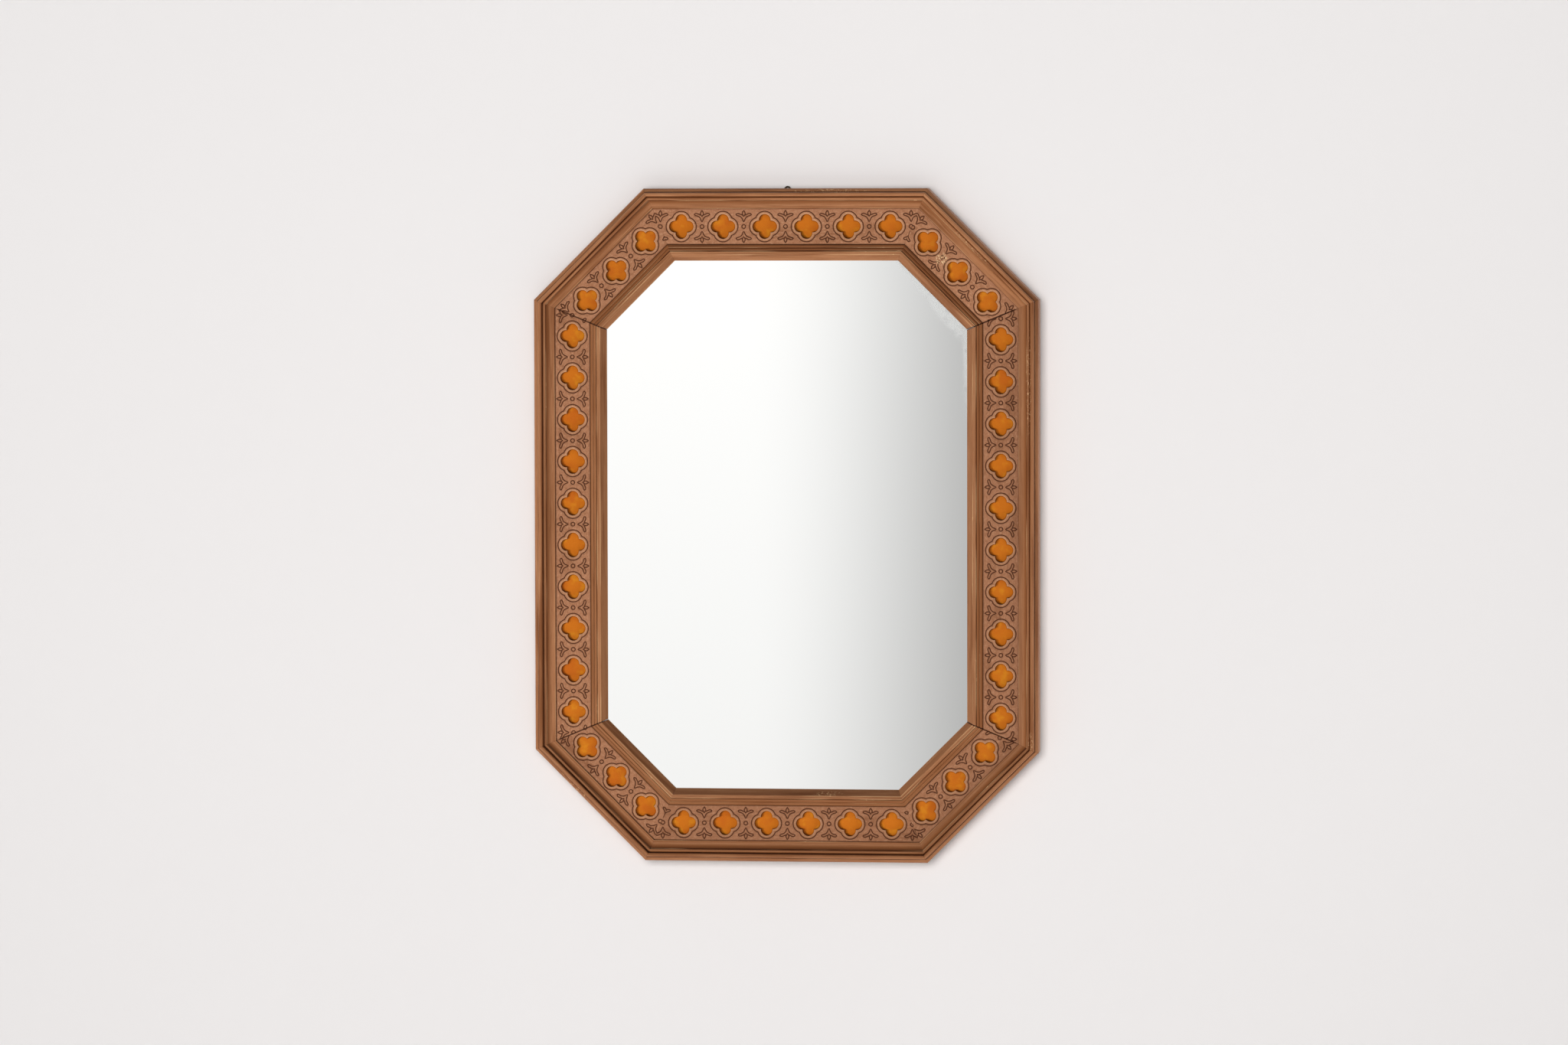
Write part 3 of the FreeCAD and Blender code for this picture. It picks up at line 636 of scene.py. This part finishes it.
def friezeTree():
    wire, given = newTree("engravedFrieze", [
        ("Quarter", "Object"), ("Pitch", "Float"), ("First repeat", "Float"), ("Repeats", "Int"),
        ("Centre line", "Float"), ("Waver", "Float"), ("Seed", "Float"), ("Finish", "Material")])
    quarter = wire.node("GeometryNodeObjectInfo", None, {"Object": given["Quarter"]}, "Geometry")

    def mirrored(shape, scale):
        turned = wire.node("GeometryNodeTransform", None, {"Geometry": shape, "Scale": scale})
        turned = wire.node("GeometryNodeFlipFaces", None, {"Mesh": turned})
        return wire.node("GeometryNodeJoinGeometry", None, {"Geometry": [shape, turned]})

    repeat = mirrored(mirrored(quarter, (-1, 1, 1)), (1, -1, 1))
    start = wire.node("ShaderNodeCombineXYZ", None, {0: given["First repeat"], 1: given["Centre line"]})
    step = wire.node("ShaderNodeCombineXYZ", None, {0: given["Pitch"]})
    row = wire.node("GeometryNodeMeshLine", {"mode": "OFFSET"},
                    {"Count": given["Repeats"], "Start Location": start, "Offset": step})
    strip = wire.node("GeometryNodeInstanceOnPoints", None, {"Points": row, "Instance": repeat})
    strip = wire.node("GeometryNodeRealizeInstances", None, {"Geometry": strip})
    strip = wire.node("GeometryNodeMergeByDistance", None, {"Geometry": strip, "Distance": frieze["weld"]})
    position = wire.node("GeometryNodeInputPosition")
    spot = stretched(position, frieze["waverScale"])
    drift = wire.node("ShaderNodeTexNoise", {"noise_dimensions": "4D"},
                      {"Vector": spot, "W": given["Seed"], "Scale": 1.0, "Detail": 1.0}, "Color")
    drift = wire.node("ShaderNodeVectorMath", {"operation": "SUBTRACT"}, {0: drift, 1: (0.5, 0.5, 0.5)})
    drift = wire.node("ShaderNodeVectorMath", {"operation": "SCALE"}, {0: drift, "Scale": given["Waver"]})
    drift = stretched(drift, frieze["waverShares"])
    strip = wire.node("GeometryNodeSetPosition", None, {"Geometry": strip, "Offset": drift})
    return closeTree(wire, strip, given["Finish"])


# cuts a strip at both mitres and closes the cuts
def cutMitres(mesh, length, gaps):
    shape = bmesh.new()
    shape.from_mesh(mesh)
    for side, gap in zip((-1, 1), gaps):
        way = Vector((side, outline["mitre"], 0)).normalized()
        parts = shape.verts[:] + shape.edges[:] + shape.faces[:]
        end = (side * (length / 2 - gap), 0, 0)
        cut = bmesh.ops.bisect_plane(shape, geom=parts, dist=1e-5, plane_co=end, plane_no=way,
                                     clear_outer=True)["geom_cut"]
        edges = [item for item in cut if isinstance(item, bmesh.types.BMEdge)]
        rim = [edge for edge in edges if len(edge.link_faces) == 1]
        bmesh.ops.triangle_fill(shape, use_beauty=True, edges=rim, normal=way)
    bmesh.ops.recalc_face_normals(shape, faces=shape.faces)
    shape.to_mesh(mesh)
    shape.free()


# felt that lies under each frieze, seen through its openings; near their walls it is smooth and has painted
# shade
felt = {"low": 16.55, "high": 17.35, "outer": 24.7, "inner": 67.8, "endGap": 0.3, "cell": 1.3, "fuzz": 0.12,
        "fuzzScale": 0.5, "fuzzSeed": 7.3, "fuzzReach": 2.5, "shadeReach": 2.2, "sharpAngle": 50}


# width and longest length of a strip, and its area, in metres
def feltFlat(length):
    wide, ends = felt["inner"] - felt["outer"], 2 * felt["endGap"]
    long = length - ends - 2 * felt["outer"] * outline["mitre"]
    area = wide * (length - ends - (felt["inner"] + felt["outer"]) * outline["mitre"])
    return (wide * mm, long * mm), area * mm * mm


def feltMesh(length, slip, count, order):
    rows = round((felt["inner"] - felt["outer"]) / felt["cell"])
    columns = round((length - 2 * felt["outer"] * outline["mitre"]) / felt["cell"])
    first = slip - frieze["pitch"] * (count - 1) / 2
    shape = bmesh.new()
    edge = shape.verts.layers.float.new("edge")
    sheet = []
    for row in range(rows + 1):
        across = felt["outer"] + (felt["inner"] - felt["outer"]) * row / rows
        end = length / 2 - across * outline["mitre"] - felt["endGap"]
        for column in range(columns + 1):
            along = end * (2 * column / columns - 1)
            repeat = min(count - 1, max(0, round((along - first) / frieze["pitch"])))
            local = (abs(along - first - repeat * frieze["pitch"]), abs(across - frieze["line"]))
            gap = -lobeGap(local, frieze["opening"])
            spot = Vector((along * felt["fuzzScale"], across * felt["fuzzScale"], order * felt["fuzzSeed"]))
            rough = ease(gap / felt["fuzzReach"]) * felt["fuzz"] * noise.noise(spot)
            vertex = shape.verts.new((along, across, felt["high"] + rough))
            # painted shade near the walls of the openings
            vertex[edge] = 1 - ease(gap / felt["shadeReach"])
            sheet.append(vertex)
    wide = columns + 1
    for row in range(rows):
        for column in range(columns):
            here, above = row * wide + column, (row + 1) * wide + column
            shape.faces.new([sheet[here], sheet[here + 1], sheet[above + 1], sheet[above]])
    loop = list(range(wide)) + [row * wide + columns for row in range(1, rows + 1)]
    loop += [rows * wide + column for column in range(columns - 1, -1, -1)]
    loop += [row * wide for row in range(rows - 1, 0, -1)]
    under = [shape.verts.new((sheet[index].co.x, sheet[index].co.y, felt["low"])) for index in loop]
    for here in range(len(loop)):
        there = (here + 1) % len(loop)
        shape.faces.new([under[here], under[there], sheet[loop[there]], sheet[loop[here]]])
    shape.faces.new(under[::-1])
    mesh = bpy.data.meshes.new("felt")
    shape.to_mesh(mesh)
    shape.free()
    return mesh


# finishes: colours as they look on screen, then how fine each pattern is along, across and through the piece
mouldingLook = {"face": paint(164, 110, 72), "light": paint(188, 135, 95), "dark": paint(126, 75, 40),
                "quirk": paint(62, 25, 6), "stainAndShade": paint(128, 76, 40), "worn": paint(216, 172, 126),
                "shadeTone": paint(104, 62, 36), "figure": (5, 70, 70), "streak": (14, 420, 420),
                "pores": (90, 1900, 1900), "chips": (150, 260, 260), "patches": (11, 40, 40),
                "flakes": (330, 520, 520), "roughness": 0.48, "gloss": 0.35, "relief": 0.12}
friezeLook = {"face": paint(168, 116, 84), "light": paint(192, 143, 110), "dark": paint(136, 88, 58),
              "groove": paint(70, 34, 16), "lip": paint(206, 158, 120), "sawn": paint(112, 64, 34),
              "worn": paint(226, 190, 146), "shadeTone": paint(108, 66, 42), "figure": (9, 60, 60),
              "streak": (40, 600, 600), "grain": (900, 1300, 1300), "mottle": (260, 420, 420),
              "scratches": (500, 800, 800), "roughness": 0.66, "gloss": 0.3, "relief": 0.25}
feltLook = {"face": paint(196, 108, 22), "gold": paint(208, 132, 28), "red": paint(180, 84, 20),
            "shade": paint(110, 52, 12), "blotch": (90, 90, 90), "drift": (35, 35, 35),
            "fibre": (2400, 2400, 2400), "roughness": 0.92, "gloss": 0.12, "sheen": 0.25, "relief": 0.35}

# worn spots: rail's number, place along and across it, half length, half width
chipped = [(2, 175, 11.5, 75, 4), (2, -262, 9, 14, 4), (0, 52, 83, 22, 3.5), (7, -30, 3, 26, 4),
           (4, -55, 3, 60, 3), (3, 8, 12, 40, 3)]
scratched = (3, 23, 49, 9, 9)
# worn spots fade from spotCore, as a share of their size, and an open mitre from mitreDark to mitreClear
wear = {"spotCore": 0.55, "mitreShade": 0.9, "mitreDark": 0.0002, "mitreClear": 0.001}


def nearSpot(place, order, along, across, halfLength, halfBreadth):
    spot = (along * mm + order * outline["grainStep"], across * mm, 0)
    apart = place.node("ShaderNodeVectorMath", {"operation": "SUBTRACT"}, {0: place, 1: spot})
    apart = stretched(apart, (1 / (halfLength * mm), 1 / (halfBreadth * mm), 0))
    reach = place.node("ShaderNodeVectorMath", {"operation": "LENGTH"}, {0: apart}, "Value")
    return 1 - rise(reach, wear["spotCore"], 1.0)


# dark line along an open mitre
def mitreLine(wire):
    clear = rise(mark(wire, "endGap"), wear["mitreDark"], wear["mitreClear"])
    return wear["mitreShade"] - clear * wear["mitreShade"]


def mouldingFinish():
    look = mouldingLook
    material, wire, shader = newFinish("stainedWood")
    place = mark(wire, "railPlace", 1)
    shut = mark(wire, "shut")
    arris = mark(wire, "arris")
    figure = cloud(place, look["figure"], 3.0, 0.6)
    streak = cloud(place, look["streak"], 3.0, 0.65)
    pores = cloud(place, look["pores"], 1.0)
    chips = cloud(place, look["chips"], 3.0, 0.6)
    patches = cloud(place, look["patches"])
    flakes = rise(cloud(place, look["flakes"], 3.0, 0.7), 0.56, 0.62)
    colour = wash(look["dark"], look["face"], figure, 0.3, 0.55)
    colour = wash(colour, look["light"], streak, 0.52, 0.75, 0.75)
    colour = wash(colour, look["dark"], streak, 0.47, 0.28, 0.6)
    colour = wash(colour, look["dark"], pores, 0.6, 0.75, 0.45)
    # painted shade, darker on the bottom and right rails, with some tone
    colour = blend(colour, look["shadeTone"], mark(wire, "age"))
    # painted shade and stain in the quirks, cove and inner reeds, less of it where a rail has painted light
    paintedLift = mark(wire, "polish") * 0.5 * (1 - rise(shut, 0.85, 1.0))
    shadeAndStainShare = shut - paintedLift + (streak - 0.5) * 0.6 * rise(shut, 0.05, 0.3)
    shadeAndStainShare = wire.math("MAXIMUM", shadeAndStainShare, 0.0)
    colour = wash(colour, look["stainAndShade"], shadeAndStainShare, 0.0, 0.5, 0.85)
    colour = wash(colour, look["quirk"], shadeAndStainShare, 0.45, 1.0, 0.92)
    colour = blend(colour, look["quirk"], mitreLine(wire))
    wearAndPaintedLight = arris * rise(patches, 0.4, 0.62) * 0.5
    wearAndPaintedLight = wearAndPaintedLight + arris * rise(chips, 0.62, 0.7) * rise(patches, 0.5, 0.62) * 0.7
    for spot in chipped:
        wearAndPaintedLight = wearAndPaintedLight + nearSpot(place, *spot) * flakes * 0.8
    colour = blend(colour, look["worn"], wire.math("MINIMUM", wearAndPaintedLight, 1.0))
    feed(shader, {"Base Color": colour, "Roughness": look["roughness"] + (streak - 0.5) * 0.2 + shut * 0.2,
                  "Normal": bump(streak * 0.6 + pores * 0.4, look["relief"], 0.0004),
                  "Specular IOR Level": look["gloss"]})
    return material


def friezeFinish():
    look = friezeLook
    material, wire, shader = newFinish("carvedWood")
    place = mark(wire, "railPlace", 1)
    figure = cloud(place, look["figure"], 3.0, 0.6)
    streak = cloud(place, look["streak"])
    grain = cloud(place, look["grain"], 2.0, 0.7)
    mottle = cloud(place, look["mottle"], 3.0, 0.6)
    scratches = rise(cloud(place, look["scratches"], 2.0, 0.6), 0.5, 0.58)
    offLine = wire.math("ABSOLUTE", place.parts()[1] - frieze["line"] * mm)
    colour = wash(look["dark"], look["face"], figure, 0.25, 0.5)
    colour = wash(colour, look["light"], mottle, 0.52, 0.7, 0.6)
    colour = wash(colour, look["dark"], mottle, 0.48, 0.3, 0.6)
    # painted highlight on the rounded lip round each opening
    colour = blend(colour, look["lip"], mark(wire, "lip") * 0.7)
    colour = wash(colour, look["light"], grain, 0.5, 0.75, 0.55)
    colour = wash(colour, look["dark"], grain, 0.5, 0.3, 0.5)
    colour = wash(colour, look["dark"], streak, 0.58, 0.75, 0.4)
    # painted shade, darker on the bottom and right rails, with some tone
    colour = blend(colour, look["shadeTone"], mark(wire, "age"))
    colour = wash(colour, look["groove"], offLine, 0.0202, 0.0215, 0.5)
    colour = wash(colour, look["groove"], mark(wire, "groove"), 0.1, 1.0, 0.9)
    # painted shade on the walls of the openings and the long side, and on the underside
    colour = wash(colour, look["sawn"], mark(wire, "sawn"), 0.02, 0.45)
    colour = blend(colour, look["groove"], mitreLine(wire))
    colour = blend(colour, look["worn"], nearSpot(place, *scratched) * scratches * 0.85)
    feed(shader, {"Base Color": colour, "Roughness": look["roughness"] + (grain - 0.5) * 0.2,
                  "Normal": bump(grain * 0.7 + streak * 0.3, look["relief"], 0.0004),
                  "Specular IOR Level": look["gloss"]})
    return material


def feltFinish():
    look = feltLook
    material, wire, shader = newFinish("orangeFelt")
    place = objectPlace(wire)
    fibre = cloud(place, look["fibre"], 3.0, 0.7)
    colour = wash(look["face"], look["gold"], cloud(place, look["blotch"]), 0.5, 0.72, 0.7)
    colour = wash(colour, look["red"], cloud(place, look["drift"]), 0.5, 0.68, 0.5)
    colour = wash(colour, look["shade"], fibre, 0.55, 0.8, 0.35)
    # painted shade on the felt near the walls of the openings
    colour = wash(colour, look["shade"], mark(wire, "edge"), 0.1, 1.0, 0.6)
    feed(shader, {"Base Color": colour, "Roughness": look["roughness"] + (fibre - 0.5) * 0.1,
                  "Normal": bump(fibre, look["relief"], 0.0006), "Specular IOR Level": look["gloss"],
                  "Sheen Weight": look["sheen"], "Sheen Roughness": 0.5})
    return material


# silvered glass, a little frosted where the silver has gone along the upper right
glassLook = {"silver": (0.93, 0.935, 0.93, 1), "gone": paint(218, 222, 220), "band": 0.016,
             "thinBand": 0.0015, "bandSide": (0.11, 0.21), "sideBand": 0.008, "sideHeight": (0.1, 0.26),
             "raggedness": 0.014, "sideRaggedness": 0.016, "spotReach": 0.04, "ragged": (130, 130, 130),
             "broad": (45, 45, 45), "spots": (900, 900, 900), "film": (12, 12, 12), "roughness": 0.015}


def mirrorFinish():
    look = glassLook
    material, wire, shader = newFinish("mirrorGlass")
    place = objectPlace(wire)
    x, y, z = place.parts()
    z = z - midHeight * mm
    sightX = (halfWide - outline["railWidth"]) * mm
    sightSum = (halfWide + halfHigh - outline["leg"] - outline["railWidth"] * math.sqrt(2)) * mm
    fromSlant = (sightSum - x - z) * math.sqrt(0.5)
    ragged = cloud(place, look["ragged"], 4.0, 0.7)
    broad = rise(cloud(place, look["broad"]), 0.3, 0.6)
    reach = look["thinBand"] + rise(x, *look["bandSide"]) * look["band"] * broad
    slantBand = 1 - rise((fromSlant + (ragged - 0.5) * look["raggedness"]) / reach, 0.1, 1.2)
    fromRight = sightX - x + (ragged - 0.5) * look["sideRaggedness"]
    rightBand = (1 - rise(fromRight, 0.0, look["sideBand"])) * rise(z, *look["sideHeight"])
    gone = wire.math("MAXIMUM", slantBand, rightBand) * rise(ragged, 0.3, 0.62) * 0.8
    spots = rise(cloud(place, look["spots"]), 0.7, 0.78) * rise(fromSlant, look["spotReach"], 0.0)
    gone = wire.math("MINIMUM", gone + spots * 0.4, 1.0)
    film = cloud(place, look["film"])
    feed(shader, {"Base Color": blend(look["silver"], look["gone"], gone), "Metallic": 1 - gone * 0.75,
                  "Roughness": look["roughness"] + gone * 0.45 + film * 0.01})
    return material


# hardboard behind the glass
boardLook = {"face": paint(122, 84, 54), "light": paint(150, 108, 72), "shade": paint(96, 64, 40),
             "weave": (1500, 1500, 1500), "damp": (7, 7, 7), "roughness": 0.8, "relief": 0.3}


def boardFinish():
    look = boardLook
    material, wire, shader = newFinish("hardboard")
    place = objectPlace(wire)
    weave = cloud(place, look["weave"], 2.0, 0.6)
    colour = wash(look["face"], look["light"], cloud(place, look["damp"], 3.0, 0.6), 0.3, 0.7)
    colour = wash(colour, look["shade"], weave, 0.5, 0.75, 0.6)
    feed(shader, {"Base Color": colour, "Roughness": look["roughness"] + (weave - 0.5) * 0.15,
                  "Normal": bump(weave, look["relief"], 0.0005)})
    return material


# steel of the fasteners and of the hanger: clean, dull and rusted
steelLook = {"brightSteel": (paint(176, 174, 170), paint(128, 124, 118), paint(112, 72, 44)),
             "hangerSteel": (paint(120, 112, 100), paint(84, 76, 66), paint(86, 54, 34)),
             "scratch": (3000, 3000, 500), "spots": (420, 420, 420), "roughness": 0.34, "relief": 0.1}


def steelFinish(name):
    clean, dull, rust = steelLook[name]
    material, wire, shader = newFinish(name)
    place = objectPlace(wire)
    scratch = cloud(place, steelLook["scratch"])
    spots = cloud(place, steelLook["spots"], 4.0, 0.7)
    corroded = rise(spots, 0.56, 0.7)
    colour = wash(clean, dull, scratch, 0.4, 0.7, 0.7)
    colour = blend(colour, rust, corroded * 0.8)
    feed(shader, {"Base Color": colour, "Metallic": 1 - corroded * 0.7,
                  "Roughness": steelLook["roughness"] + scratch * 0.15 + corroded * 0.35,
                  "Normal": bump(spots, steelLook["relief"], 0.0002)})
    return material


# build the rails, friezes and felts
railWood, carvedWood, orangeFelt = mouldingFinish(), friezeFinish(), feltFinish()
section = helper("railSectionGuide", sectionMesh())
quarter = helper("friezeQuarterGuide", quarterMesh())
sweptMoulding, engravedFrieze = mouldingTree(), friezeTree()
sectionPoints = len(section.data.vertices)
print("section points", sectionPoints, "quarter faces", len(quarter.data.polygons))
framePieces = []
for order, (name, length, degrees, x, z, slip, count, gaps, age, polish) in enumerate(rails):
    place = railMatrix(degrees, x, z)
    mesh = grow(name, sweptMoulding, {
        "Section": section, "Section points": sectionPoints, "Stations": moulding["stations"],
        "Length": length, "Mitre": outline["mitre"], "Start gap": gaps[0], "End gap": gaps[1],
        "Gap starts": outline["gapStarts"], "Waver": moulding["waver"], "Seed": order * moulding["seedStep"],
        "Finish": railWood})
    keepPlace(mesh, order, length, gaps, age, polish)
    mesh.transform(place)
    smooth(mesh, moulding["sharpAngle"])
    framePieces.append(fit(name + "_moulding", mesh, name))
    # one repeat more at either end, cut off at the mitres
    mesh = grow(name + "_frieze", engravedFrieze, {
        "Quarter": quarter, "Pitch": frieze["pitch"], "Repeats": count + 2,
        "First repeat": slip - frieze["pitch"] * (count + 1) / 2, "Centre line": frieze["line"],
        "Waver": frieze["waver"], "Seed": order * frieze["seedStep"] + frieze["firstSeed"],
        "Finish": carvedWood})
    cutMitres(mesh, length, gaps)
    keepPlace(mesh, order, length, gaps, age, polish)
    mesh.transform(place)
    smooth(mesh, frieze["sharpAngle"])
    framePieces.append(fit(name + "_carving", mesh, name + "_frieze"))
    mesh = feltMesh(length, slip, count, order)
    mesh.materials.append(orangeFelt)
    mesh.transform(place)
    smooth(mesh, felt["sharpAngle"])
    strip = fit(name + "_feltStrip", mesh, name + "_felt")
    framePieces.append(strip)
    flat, area = feltFlat(length)
    name + "_moulding"
    print(name, "built")
bpy.data.objects.remove(section)
bpy.data.objects.remove(quarter)

# CAD nodes that stay, with their finishes
brightSteel, hangerSteel = steelFinish("brightSteel"), steelFinish("hangerSteel")
keptFinishes = {"mirror_glass": mirrorFinish(), "backing_board": boardFinish(),
                "mitre_fasteners": brightSteel, "glazing_sprigs": brightSteel, "hanger_strap": hangerSteel,
                "hanger_screws": brightSteel, "hanger_ring": hangerSteel}
for name, material in keptFinishes.items():
    nodes[name].data.materials.clear()
    nodes[name].data.materials.append(material)
    framePieces.append(nodes[name])
print("CAD nodes finished")

# stage: a pale wall with an opening hidden behind the frame, and a pale floor
stage = {"wallWide": 14, "wallHigh": 9, "wallGap": 0.0046, "floor": -1.9, "inset": 0.014,
         "wallColour": (0.868, 0.845, 0.842, 1), "floorColour": (0.84, 0.835, 0.825, 1),
         "plaster": (1.2, 1.2, 1.2), "plasterShade": 0.985}


def stageFinish(name, colour, oneSided):
    material, wire, shader = newFinish(name)
    plaster = cloud(objectPlace(wire), stage["plaster"], 3.0)
    shade = tuple(level * stage["plasterShade"] for level in colour[:3]) + (1,)
    tone = blend(shade, colour, plaster)
    feed(shader, {"Base Color": tone, "Roughness": 0.9, "Specular IOR Level": 0.1})
    if oneSided:
        behind = wire.node("ShaderNodeNewGeometry", None, None, "Backfacing")
        clear = wire.node("ShaderNodeBsdfTransparent")
        front = Wire(wire.tree, shader.outputs[0])
        both = wire.node("ShaderNodeMixShader", None, {0: behind, 1: front, 2: clear})
        wire.tree.links.new(both.socket, wire.tree.nodes["Material Output"].inputs["Surface"])
    return material


def wallMesh():
    wide, low = stage["wallWide"] / 2, stage["floor"]
    high, middle = low + stage["wallHigh"], midHeight * mm
    frameX, frameZ = halfWide * mm - stage["inset"], halfHigh * mm - stage["inset"]
    leg = outline["leg"] * mm - stage["inset"] * (2 - math.sqrt(2))
    edge = [(-wide, low), (wide, low), (wide, high), (-wide, high)]
    hole = [(frameX - leg, -frameZ), (frameX, leg - frameZ), (frameX, frameZ - leg), (frameX - leg, frameZ),
            (leg - frameX, frameZ), (-frameX, frameZ - leg), (-frameX, leg - frameZ), (leg - frameX, -frameZ)]
    rings = [[Vector((x, z, 0)) for x, z in edge], [Vector((x, z + middle, 0)) for x, z in hole]]
    faces = geometry.tessellate_polygon(rings)
    mesh = bpy.data.meshes.new("wall")
    mesh.from_pydata([(spot.x, stage["wallGap"], spot.y) for spot in rings[0] + rings[1]], [], faces)
    shape = bmesh.new()
    shape.from_mesh(mesh)
    shape.normal_update()
    for face in shape.faces:
        if face.normal.y > 0:
            face.normal_flip()
    shape.to_mesh(mesh)
    shape.free()
    return mesh


wall = helper("wall", wallMesh())
wall.data.materials.append(stageFinish("wallPaint", stage["wallColour"], True))
reach, low = stage["wallWide"] / 2, stage["floor"]
corners = [(-reach, -reach, low), (reach, -reach, low), (reach, reach, low), (-reach, reach, low)]
floorMesh = bpy.data.meshes.new("floor")
floorMesh.from_pydata(corners, [], [(0, 1, 2, 3)])
floor = helper("floor", floorMesh)
floor.data.materials.append(stageFinish("floorPaint", stage["floorColour"], False))
print("stage set")

# light: a room bright in front of the mirror and dimmer elsewhere
light = {"front": 1.04, "sides": 0.14, "above": 0.18, "ahead": 0.38, "behind": 0.6,
         "tint": (1, 0.995, 0.985, 1), "frontCone": (0.88, 0.97), "backCone": (0.0, -0.3),
         "aboveRise": (0.05, 0.45), "greyLeft": (-0.12, -0.07), "greyRight": (0.5, 0.2),
         "greyHeight": (0.35, 0.15), "greyLevel": 0.05}


def lightRoom():
    world = bpy.data.worlds.new("room")
    scene.world = world
    world.use_nodes = True
    wire = Wire(world.node_tree)
    x, y, z = wire.node("ShaderNodeTexCoord", None, None, "Generated").parts()
    facing = 0 - y
    aside = x / wire.math("MAXIMUM", facing, 0.05)
    level = light["sides"] + (light["above"] - light["sides"]) * rise(z, *light["aboveRise"])
    level = level + (light["front"] - light["sides"]) * rise(facing, *light["frontCone"])
    level = level + (light["behind"] - light["sides"]) * rise(facing, *light["backCone"])
    # the side of the room that the right of the glass shows is greyer, and lower down a little darker
    offLevel = wire.math("ABSOLUTE", z + light["greyLevel"])
    grey = rise(aside, *light["greyLeft"]) * rise(aside, *light["greyRight"])
    grey = grey * rise(offLevel, *light["greyHeight"])
    level = level + (light["ahead"] - light["front"]) * grey
    tilt = wire.math("MAXIMUM", wire.math("MINIMUM", z * 1.6 + 0.08, 0.05), -0.1)
    level = level * (tilt + 1)
    shade = wire.tree.nodes["Background"]
    shade.inputs["Color"].default_value = light["tint"]
    wire.tree.links.new(level.socket, shade.inputs["Strength"])


# lamps, one for the wall and two for the frame: place, sides, power and what each lights
lamps = {"wallLamp": ((-0.15, -5.3, 0.15), (2.3, 1.9), 178, [wall, floor]),
         "lowLamp": ((-3.9, -5, -1.78), (2.2, 0.9), 468, framePieces),
         "rightLamp": ((2.9, -1.2, -1.75), (1.4, 1.2), 78, framePieces)}
lampTarget = Vector((0, 0, -0.4))


def addLamp(name, place, sides, power, lit):
    lamp = bpy.data.lights.new(name, "AREA")
    lamp.shape = "RECTANGLE"
    lamp.size, lamp.size_y = sides
    lamp.energy = power
    thing = bpy.data.objects.new(name, lamp)
    scene.collection.objects.link(thing)
    thing.location = place
    thing.rotation_mode = "QUATERNION"
    thing.rotation_quaternion = (lampTarget - Vector(place)).to_track_quat("-Z", "Y")
    thing.visible_camera = False
    thing.visible_glossy = False
    thing.light_linking.receiver_collection = bpy.data.collections.new(name + "Lit")
    for receiver in lit:
        thing.light_linking.receiver_collection.objects.link(receiver)


lightRoom()
for name, (place, sides, power, lit) in lamps.items():
    addLamp(name, place, sides, power, lit)
print("light set")

# camera a little to the right and above, with a long lens
view = {"azimuth": 6.5, "elevation": 3.0, "distance": 8.0, "frameWidth": 1.914, "roll": 0.11,
        "aim": (-0.0030, -0.018, 0.0036), "sensor": 36, "near": 0.1, "far": 60}


def addCamera():
    lens = bpy.data.cameras.new("camera")
    lens.sensor_width = view["sensor"]
    lens.lens = lens.sensor_width * view["distance"] / view["frameWidth"]
    lens.clip_start, lens.clip_end = view["near"], view["far"]
    camera = bpy.data.objects.new("camera", lens)
    scene.collection.objects.link(camera)
    turn, tilt = math.radians(view["azimuth"]), math.radians(view["elevation"])
    back = Vector((math.sin(turn) * math.cos(tilt), -math.cos(turn) * math.cos(tilt), math.sin(tilt)))
    target = Vector(view["aim"]) + Vector((0, 0, midHeight * mm))
    camera.location = target + back * view["distance"]
    camera.rotation_mode = "QUATERNION"
    roll = Quaternion((0, 0, 1), math.radians(-view["roll"]))
    camera.rotation_quaternion = (-back).to_track_quat("-Z", "Y") @ roll
    scene.camera = camera


addCamera()
print("camera set")
